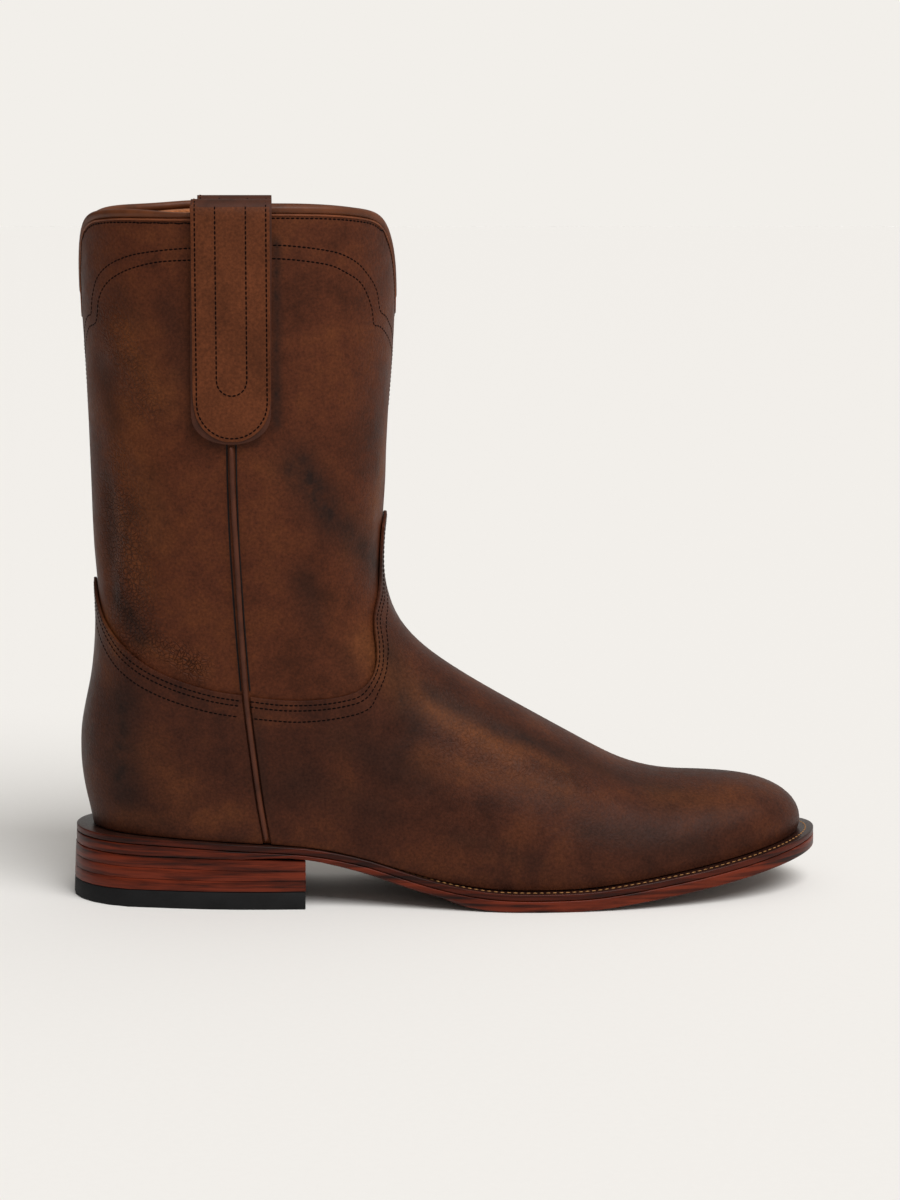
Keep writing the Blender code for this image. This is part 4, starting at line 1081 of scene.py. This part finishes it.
def seam_channels(side):
    """The channels in which the shaft's halves turn down on both sides of the piping, as thin thread-dark
    cords: painted shade in the grooves.
    """
    way = SIDES[side][0]
    skin = PIECES["skin"]
    for name, offset in (("back", -CHANNEL_OFFSET), ("front", CHANNEL_OFFSET)):
        seam = [drop(skin, "side", x + offset, z, way) for x, z in SEAM]
        line = [place - normal * CHANNEL_SINK for place, normal in laid_line(skin, seam, 2 * MM)]
        channel = bead(f"seam_channel_{side}_{name}", line, CHANNEL_RADIUS, cyclic=False)
        finish_piece(channel, f"side_piping_{side}", [LOOKS["channel"]])


class BOOT_OT_straps(Operator):
    """Build the two pull straps, each of a backing and a narrower top layer"""
    bl_idname = "boot.straps"
    bl_label = "Pull straps"

    def execute(self, context):
        sizes = context.scene.boot_sizes
        for side in ("outer", "inner"):
            node = f"pull_strap_{side}"
            backing = copy_of_node(node, f"strap_backing_{side}")
            round_edges(backing, STRAP_ROUND)
            subdivide_smooth(backing, 2)
            finish_piece(backing, node, [LOOKS["backing"]], node)
            layer = top_layer(side, surface_of(backing), sizes.strap_margin, sizes.strap_layer)
            finish_piece(layer, node, [LOOKS["strap"]])
            PIECES[f"strap {side}"] = surface_of(layer)
        return {"FINISHED"}


def strap_frame(side):
    """Which way a strap faces, its middle, half width, foot and top, from its CAD box."""
    low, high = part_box(f"pull_strap_{side}")
    return SIDES[side][0], (low.x + high.x) / 2, (high.x - low.x) / 2, low.z, high.z


def over_strap(surface, side, x, travel):
    """A point on a strap's face and its direction, a distance up its outside and over its top."""
    way, _, _, foot, top = strap_frame(side)
    bend = STRAP_BEND
    straight = top - bend - foot
    arc = math.pi * bend
    reach = STRAP_RAY
    if travel <= straight:
        away = Vector((0.0, way, 0.0))
        target = Vector((x, 0.0, foot + travel))
    elif travel <= straight + arc:
        angle = (travel - straight) / bend
        away = Vector((0.0, way * math.cos(angle), math.sin(angle)))
        target = Vector((x, strap_loop_middle(surface, side, x), top - bend))
    else:
        away = Vector((0.0, -way, 0.0))
        height = top - bend - (travel - straight - arc)
        target = Vector((x, strap_loop_middle(surface, side, x), height))
        reach = STRAP_INSIDE_RAY
    hit, normal, _, _ = surface.ray_cast(target + away * reach, -away)
    return hit, normal


def strap_loop_middle(surface, side, x):
    """Place across the boot of the middle of a strap's loop."""
    way, _, _, _, top = strap_frame(side)
    height = top - STRAP_BEND
    away = Vector((0.0, way, 0.0))
    outer, _, _, _ = surface.ray_cast(Vector((x, way * STRAP_RAY, height)), -away)
    behind = Vector((x, outer.y - way * STRAP_INSIDE_RAY, height))
    inner, _, _, _ = surface.ray_cast(behind, away)
    return (outer.y + inner.y) / 2


def top_layer(side, surface, margin, thickness):
    """The strap's upper layer: a grid laid over the backing, thickened and softened."""
    way, middle, reach, foot, top = strap_frame(side)
    half = reach - margin
    rounded = [half * (1.0 - math.cos(math.radians(angle))) for angle in (8, 16, 26, 38, 52, 68, 90)]
    count = int((top - foot + LAYER_BEYOND - rounded[-1]) / LAYER_STEP)
    rows = rounded + [rounded[-1] + LAYER_STEP * step for step in range(1, count)]
    across = (-1.0, -0.93, -0.6, -0.2, 0.2, 0.6, 0.93, 1.0)
    bpy.ops.object.select_all(action="DESELECT")
    bpy.ops.mesh.primitive_grid_add(
        x_subdivisions=len(across) - 1, y_subdivisions=len(rows) - 1, size=1.0, location=(0.0, 0.0, 0.0),
    )
    layer = bpy.context.active_object
    layer.name = f"strap_layer_{side}"
    for number, vertex in enumerate(layer.data.vertices):
        distance = rows[number // len(across)]
        width = half * math.sqrt(1.0 - max(1.0 - distance / half, 0.0) ** 2)
        x = middle + width * across[number % len(across)]
        point, normal = over_strap(surface, side, x, margin + distance)
        vertex.co = point + normal * LAYER_LIFT
    open_mesh(layer)
    bpy.ops.mesh.normals_make_consistent(inside=False)
    if layer_faces_in(layer, way):
        bpy.ops.mesh.flip_normals()
    bpy.ops.object.mode_set(mode="OBJECT")
    apply_modifier(layer, "SOLIDIFY", thickness=thickness, offset=1.0)
    round_edges(layer, LAYER_ROUND)
    subdivide_smooth(layer, 2)
    return layer


def layer_faces_in(layer, way):
    bpy.ops.object.mode_set(mode="OBJECT")
    lowest = min(layer.data.polygons, key=lambda face: face.center.z)
    facing_in = lowest.normal.y * way < 0.0
    bpy.ops.object.mode_set(mode="EDIT")
    return facing_in


def smooth_outline(piece):
    """Round a piece's outline between its corners while its sharp edges stay sharp."""
    open_mesh(piece, "EDGE", "DESELECT")
    bpy.ops.mesh.edges_select_sharp(sharpness=math.radians(SMOOTH_ANGLE))
    bpy.ops.transform.edge_crease(value=1.0)
    close_mesh()
    subdivide_smooth(piece, 1)


class BOOT_OT_sole(Operator):
    """Build the welt and the leather outsole with trimmed, rounded edges"""
    bl_idname = "boot.sole"
    bl_label = "Welt and outsole"

    def execute(self, context):
        width = context.scene.boot_sizes.sole_round
        welt = copy_of_node("welt", "burnished_welt")
        smooth_outline(welt)
        round_edges(welt, width, segments=3)
        paint_faces(welt, 1, lambda face: abs(face.normal.z) < WELT_EDGE_TILT)
        finish_piece(welt, "welt", [LOOKS["welt top"], LOOKS["welt edge"]], "welt")
        PIECES["welt"] = surface_of(welt)
        outsole = copy_of_node("outsole", "leather_outsole")
        smooth_outline(outsole)
        apply_modifier(outsole, "DISPLACE", strength=LAYER_SWELL, mid_level=0.0)
        round_edges(outsole, width, segments=3)
        # The outsole's downward faces take the dark underside tone: painted shade under the sole
        paint_faces(
            outsole, 1,
            lambda face: face.normal.z < -SOLE_UNDER_TILT and abs(face.normal.y) < SOLE_SIDE_TILT,
        )
        finish_piece(outsole, "outsole", [LOOKS["stack"], LOOKS["under"]], "outsole")
        return {"FINISHED"}


class BOOT_OT_heel(Operator):
    """Build the stacked heel lifts and the rubber cap"""
    bl_idname = "boot.heel"
    bl_label = "Stacked heel"

    def execute(self, context):
        for number in (1, 2, 3):
            node = f"heel_lift_{number}"
            lift = copy_of_node(node, f"stacked_lift_{number}")
            apply_modifier(lift, "DISPLACE", strength=LAYER_SWELL, mid_level=0.0)
            round_edges(lift, LIFT_ROUND)
            finish_piece(lift, node, [LOOKS["stack"]], node)
        cap = copy_of_node("heel_cap", "rubber_cap")
        round_edges(cap, BOARD_ROUND)
        finish_piece(cap, "heel_cap", [LOOKS["rubber"]], "heel_cap")
        return {"FINISHED"}


class BOOT_OT_insole(Operator):
    """Build the leather insole"""
    bl_idname = "boot.insole"
    bl_label = "Insole"

    def execute(self, context):
        board = copy_of_node("insole", "leather_insole")
        round_edges(board, BOARD_ROUND)
        finish_piece(board, "insole", [LOOKS["insole"]], "insole")
        return {"FINISHED"}


# Stitching
def one_stitch(span, width):
    """A single stitch: a thread's visible loop, pointed where it dives into the leather."""
    bpy.ops.object.select_all(action="DESELECT")
    bpy.ops.mesh.primitive_uv_sphere_add(
        segments=6, ring_count=5, radius=0.5, location=(0.0, 0.0, 0.0), rotation=(0.0, math.pi / 2, 0.0),
    )
    stitch = bpy.context.active_object
    bpy.ops.object.transform_apply(location=False, rotation=True, scale=True)
    stitch.data.transform(Matrix.Diagonal((span, width, width * STITCH_FLATNESS, 1.0)))
    return stitch


def sew(name, lines, span, width, look, slot):
    """Copies of one stitch set along laid lines and joined as one piece."""
    stitch = one_stitch(span, width)
    shape = [vertex.co.copy() for vertex in stitch.data.vertices]
    sides = [list(face.vertices) for face in stitch.data.polygons]
    bpy.data.objects.remove(stitch, do_unlink=True)
    points = []
    faces = []
    for laid in lines:
        for (start, up), (end, _) in zip(laid, laid[1:]):
            along = (end - start).normalized()
            across = up.cross(along).normalized()
            turn = Matrix((along, across, along.cross(across))).transposed()
            middle = (start + end) / 2 - up * STITCH_SINK
            base = len(points)
            points += [middle + turn @ corner for corner in shape]
            faces += [[base + corner for corner in side] for side in sides]
    mesh = bpy.data.meshes.new(name)
    mesh.from_pydata(points, [], faces)
    piece = bpy.data.objects.new(name, mesh)
    bpy.context.scene.collection.objects.link(piece)
    finish_piece(piece, slot, [look])


class BOOT_OT_stitching(Operator):
    """Sew every visible row: collar, straps, vamp, counter, lining and welt"""
    bl_idname = "boot.stitching"
    bl_label = "Stitching"

    def execute(self, context):
        sizes = context.scene.boot_sizes
        pitch, span, width = sizes.stitch_pitch, sizes.stitch_length, sizes.thread_width
        skin, rim = PIECES["skin"], PIECES["rim"]
        collar = [
            both_sides(skin, COLLAR_ROW_OUTER, closed=True),
            both_sides(skin, COLLAR_ROW_INNER, closed=True),
            shifted_closed(skin, rim, RIM_ROW),
        ]
        rows = [laid_line(skin, line, pitch) for line in collar]
        sew("collar_stitching", rows, span, width, LOOKS["thread"], "upper")
        for node, (edge, distances) in EDGE_ROWS.items():
            top = both_sides(skin, edge)
            lines = [shifted_line(skin, top, gap * MM) for gap in distances]
            if node == "vamp":
                lines.append(both_sides(skin, VAMP_ROW_LOW))
            rows = [onto_panel(PIECES[node], laid_line(skin, line, pitch)) for line in lines]
            sew(f"{node}_stitching", rows, span, width, LOOKS["thread"], node)
        for side in ("outer", "inner"):
            rows = strap_rows(side, pitch)
            sew(f"strap_stitching_{side}", rows, span, width, LOOKS["thread"], f"pull_strap_{side}")
        inside = PIECES["inside"]
        lining = laid_line(inside, shifted_closed(inside, rim, LINING_ROW), LINING_PITCH)
        sew("lining_stitching", [lining], LINING_STITCH, width, LOOKS["lining thread"], "upper")
        welt = PIECES["welt"]
        row = laid_line(welt, welt_line(welt), sizes.sole_stitch_pitch)
        sew("welt_stitching", [row], WELT_STITCH, WELT_THREAD, LOOKS["welt thread"], "welt")
        return {"FINISHED"}


def onto_panel(panel, laid):
    """A line laid on the wall, lifted onto the panel that covers it."""
    lifted = []
    for place, normal in laid:
        point, facing, _, _ = panel.ray_cast(place + normal * PANEL_RAY, -normal)
        if point is None:
            point, facing = place + normal * PANEL_THICKNESS, normal
        lifted.append((point, facing))
    return lifted


def welt_line(welt):
    """Points on the welt's top, a little inside its edge, from the waist round the toe and back."""
    outer = [(Vector((x * MM, 0.0, 0.0)), VIEWS["outer"]) for x in WELT_OUTER]
    inner = [(Vector((x * MM, 0.0, 0.0)), VIEWS["inner"]) for x in WELT_INNER]
    round_toe = []
    for degrees in range(-90, 91, 9):
        angle = math.radians(degrees)
        round_toe.append((TOE_MIDDLE, Vector((math.cos(angle), math.sin(angle), 0.0))))
    down = Vector((0.0, 0.0, -1.0))
    line = []
    for start, outward in outer + round_toe + inner:
        above = start - down * WELT_RAY
        reach = WELT_SEARCH
        while welt.ray_cast(above + outward * reach, down)[0] is None:
            reach -= WELT_SEARCH_STEP
        place, _, _, _ = welt.ray_cast(above + outward * (reach - WELT_LEDGE), down)
        line.append(place)
    return line


def strap_rows(side, pitch):
    """A strap's four rows, joined in two U shapes and carried over its top."""
    surface = PIECES[f"strap {side}"]
    _, middle, reach, foot, top = strap_frame(side)
    lines = []
    count = int((top - foot + STRAP_ROW_BEYOND) / STRAP_ROW_STEP)
    for half, rise in ((reach - STRAP_ROW_IN, STRAP_ROW_IN), (STRAP_U_HALF, STRAP_U_RISE)):
        legs = [rise + half + STRAP_ROW_STEP * step for step in range(1, count + 1)]
        rows = [(-half, travel) for travel in reversed(legs)]
        for degrees in range(0, 181, 15):
            angle = math.radians(degrees)
            rows.append((-half * math.cos(angle), rise + half * (1 - math.sin(angle))))
        rows += [(half, travel) for travel in legs]
        points = [over_strap(surface, side, middle + x, travel)[0] for x, travel in rows]
        lines.append(laid_line(surface, points, pitch))
    return lines


class BOOT_OT_stage(Operator):
    """Set the paper floor, the studio light and the camera"""
    bl_idname = "boot.stage"
    bl_label = "Studio"

    def execute(self, context):
        floor_stage(context)
        studio_light(context)
        photo_camera(context)
        return {"FINISHED"}


def floor_stage(context):
    bpy.ops.object.select_all(action="DESELECT")
    bpy.ops.mesh.primitive_plane_add(size=FLOOR_SIZE, location=(0.0, 0.0, 0.0))
    floor = context.active_object
    floor.name = "paper_floor"
    floor.data.materials.append(studio_paper("seamless_paper", context.scene.boot_colours.floor))


def studio_light(context):
    """Pale surroundings that light the boot more from the right, and one large soft key."""
    scene = context.scene
    scene.view_settings.view_transform = "Standard"
    world = bpy.data.worlds.new("studio_surroundings")
    scene.world = world
    world.use_nodes = True
    tree = world.node_tree
    paper = scene.boot_colours.backdrop
    direction = add(tree, "TexCoord", out="Generated")
    sideways = add(tree, "SeparateXYZ", {0: direction}, out="X")
    fade = add(
        tree, "MapRange", {"Value": sideways},
        {"From Min": -1.0, "From Max": 0.6, "To Min": AMBIENT_LEFT, "To Max": AMBIENT_RIGHT},
    )
    lighting = tree.nodes["Background"]
    lighting.inputs["Color"].default_value = (*paper, 1.0)
    tree.links.new(fade, lighting.inputs["Strength"])
    seen = add(tree, "Background", values={"Color": (*paper, 1.0), "Strength": 1.0})
    straight = add(tree, "LightPath", out="Is Camera Ray")
    mixed = add(tree, "MixShader", {0: straight, 1: lighting.outputs[0], 2: seen})
    tree.links.new(mixed, tree.nodes["World Output"].inputs["Surface"])
    bpy.ops.object.light_add(type="SUN", location=(1.0, -1.4, 2.0))
    key = context.active_object
    key.name = "key_light"
    key.data.energy = KEY_STRENGTH
    key.data.angle = math.radians(KEY_SOFTNESS)
    key.rotation_mode = "QUATERNION"
    key.rotation_quaternion = KEY_FROM.to_track_quat("Z", "Y")


def photo_camera(context):
    """The photograph's place and lens, turned to the right so that the toe is in the frame."""
    bpy.ops.object.camera_add(location=[part * MM for part in CAMERA_PLACE])
    camera = context.active_object
    camera.name = "photo_camera"
    camera.rotation_euler = (math.radians(90 - CAMERA_DOWN), 0.0, math.radians(CAMERA_TURN))
    camera.data.sensor_fit = "VERTICAL"
    camera.data.sensor_height = SENSOR_HEIGHT
    camera.data.lens = CAMERA_LENS
    context.scene.camera = camera


class BOOT_PT_sidebar(Panel):
    """Buttons for the boot's pieces, in the order in which they are made"""
    bl_label = "Roper boot"
    bl_idname = "BOOT_PT_sidebar"
    bl_space_type = "VIEW_3D"
    bl_region_type = "UI"
    bl_category = "Boot"

    def draw(self, context):
        for step in STEPS:
            self.layout.operator(step.bl_idname)
        for group in (context.scene.boot_sizes, context.scene.boot_colours):
            for name in group.bl_rna.properties.keys():
                if name not in ("rna_type", "name"):
                    self.layout.prop(group, name)


STEPS = (
    BOOT_OT_shaft,
    BOOT_OT_foot,
    BOOT_OT_collar,
    BOOT_OT_piping,
    BOOT_OT_straps,
    BOOT_OT_sole,
    BOOT_OT_heel,
    BOOT_OT_insole,
    BOOT_OT_stitching,
    BOOT_OT_stage,
)
CLASSES = (BootSizes, BootColours, *STEPS, BOOT_PT_sidebar)


def register():
    for item in CLASSES:
        bpy.utils.register_class(item)
    bpy.types.Scene.boot_sizes = PointerProperty(type=BootSizes)
    bpy.types.Scene.boot_colours = PointerProperty(type=BootColours)


def unregister():
    del bpy.types.Scene.boot_colours
    del bpy.types.Scene.boot_sizes
    for item in reversed(CLASSES):
        bpy.utils.unregister_class(item)


def main():
    register()
    bpy.ops.boot.shaft()
    bpy.ops.boot.foot()
    bpy.ops.boot.collar()
    bpy.ops.boot.piping()
    bpy.ops.boot.straps()
    bpy.ops.boot.sole()
    bpy.ops.boot.heel()
    bpy.ops.boot.insole()
    bpy.ops.boot.stitching()
    bpy.ops.boot.stage()


if __name__ == "__main__":
    main()
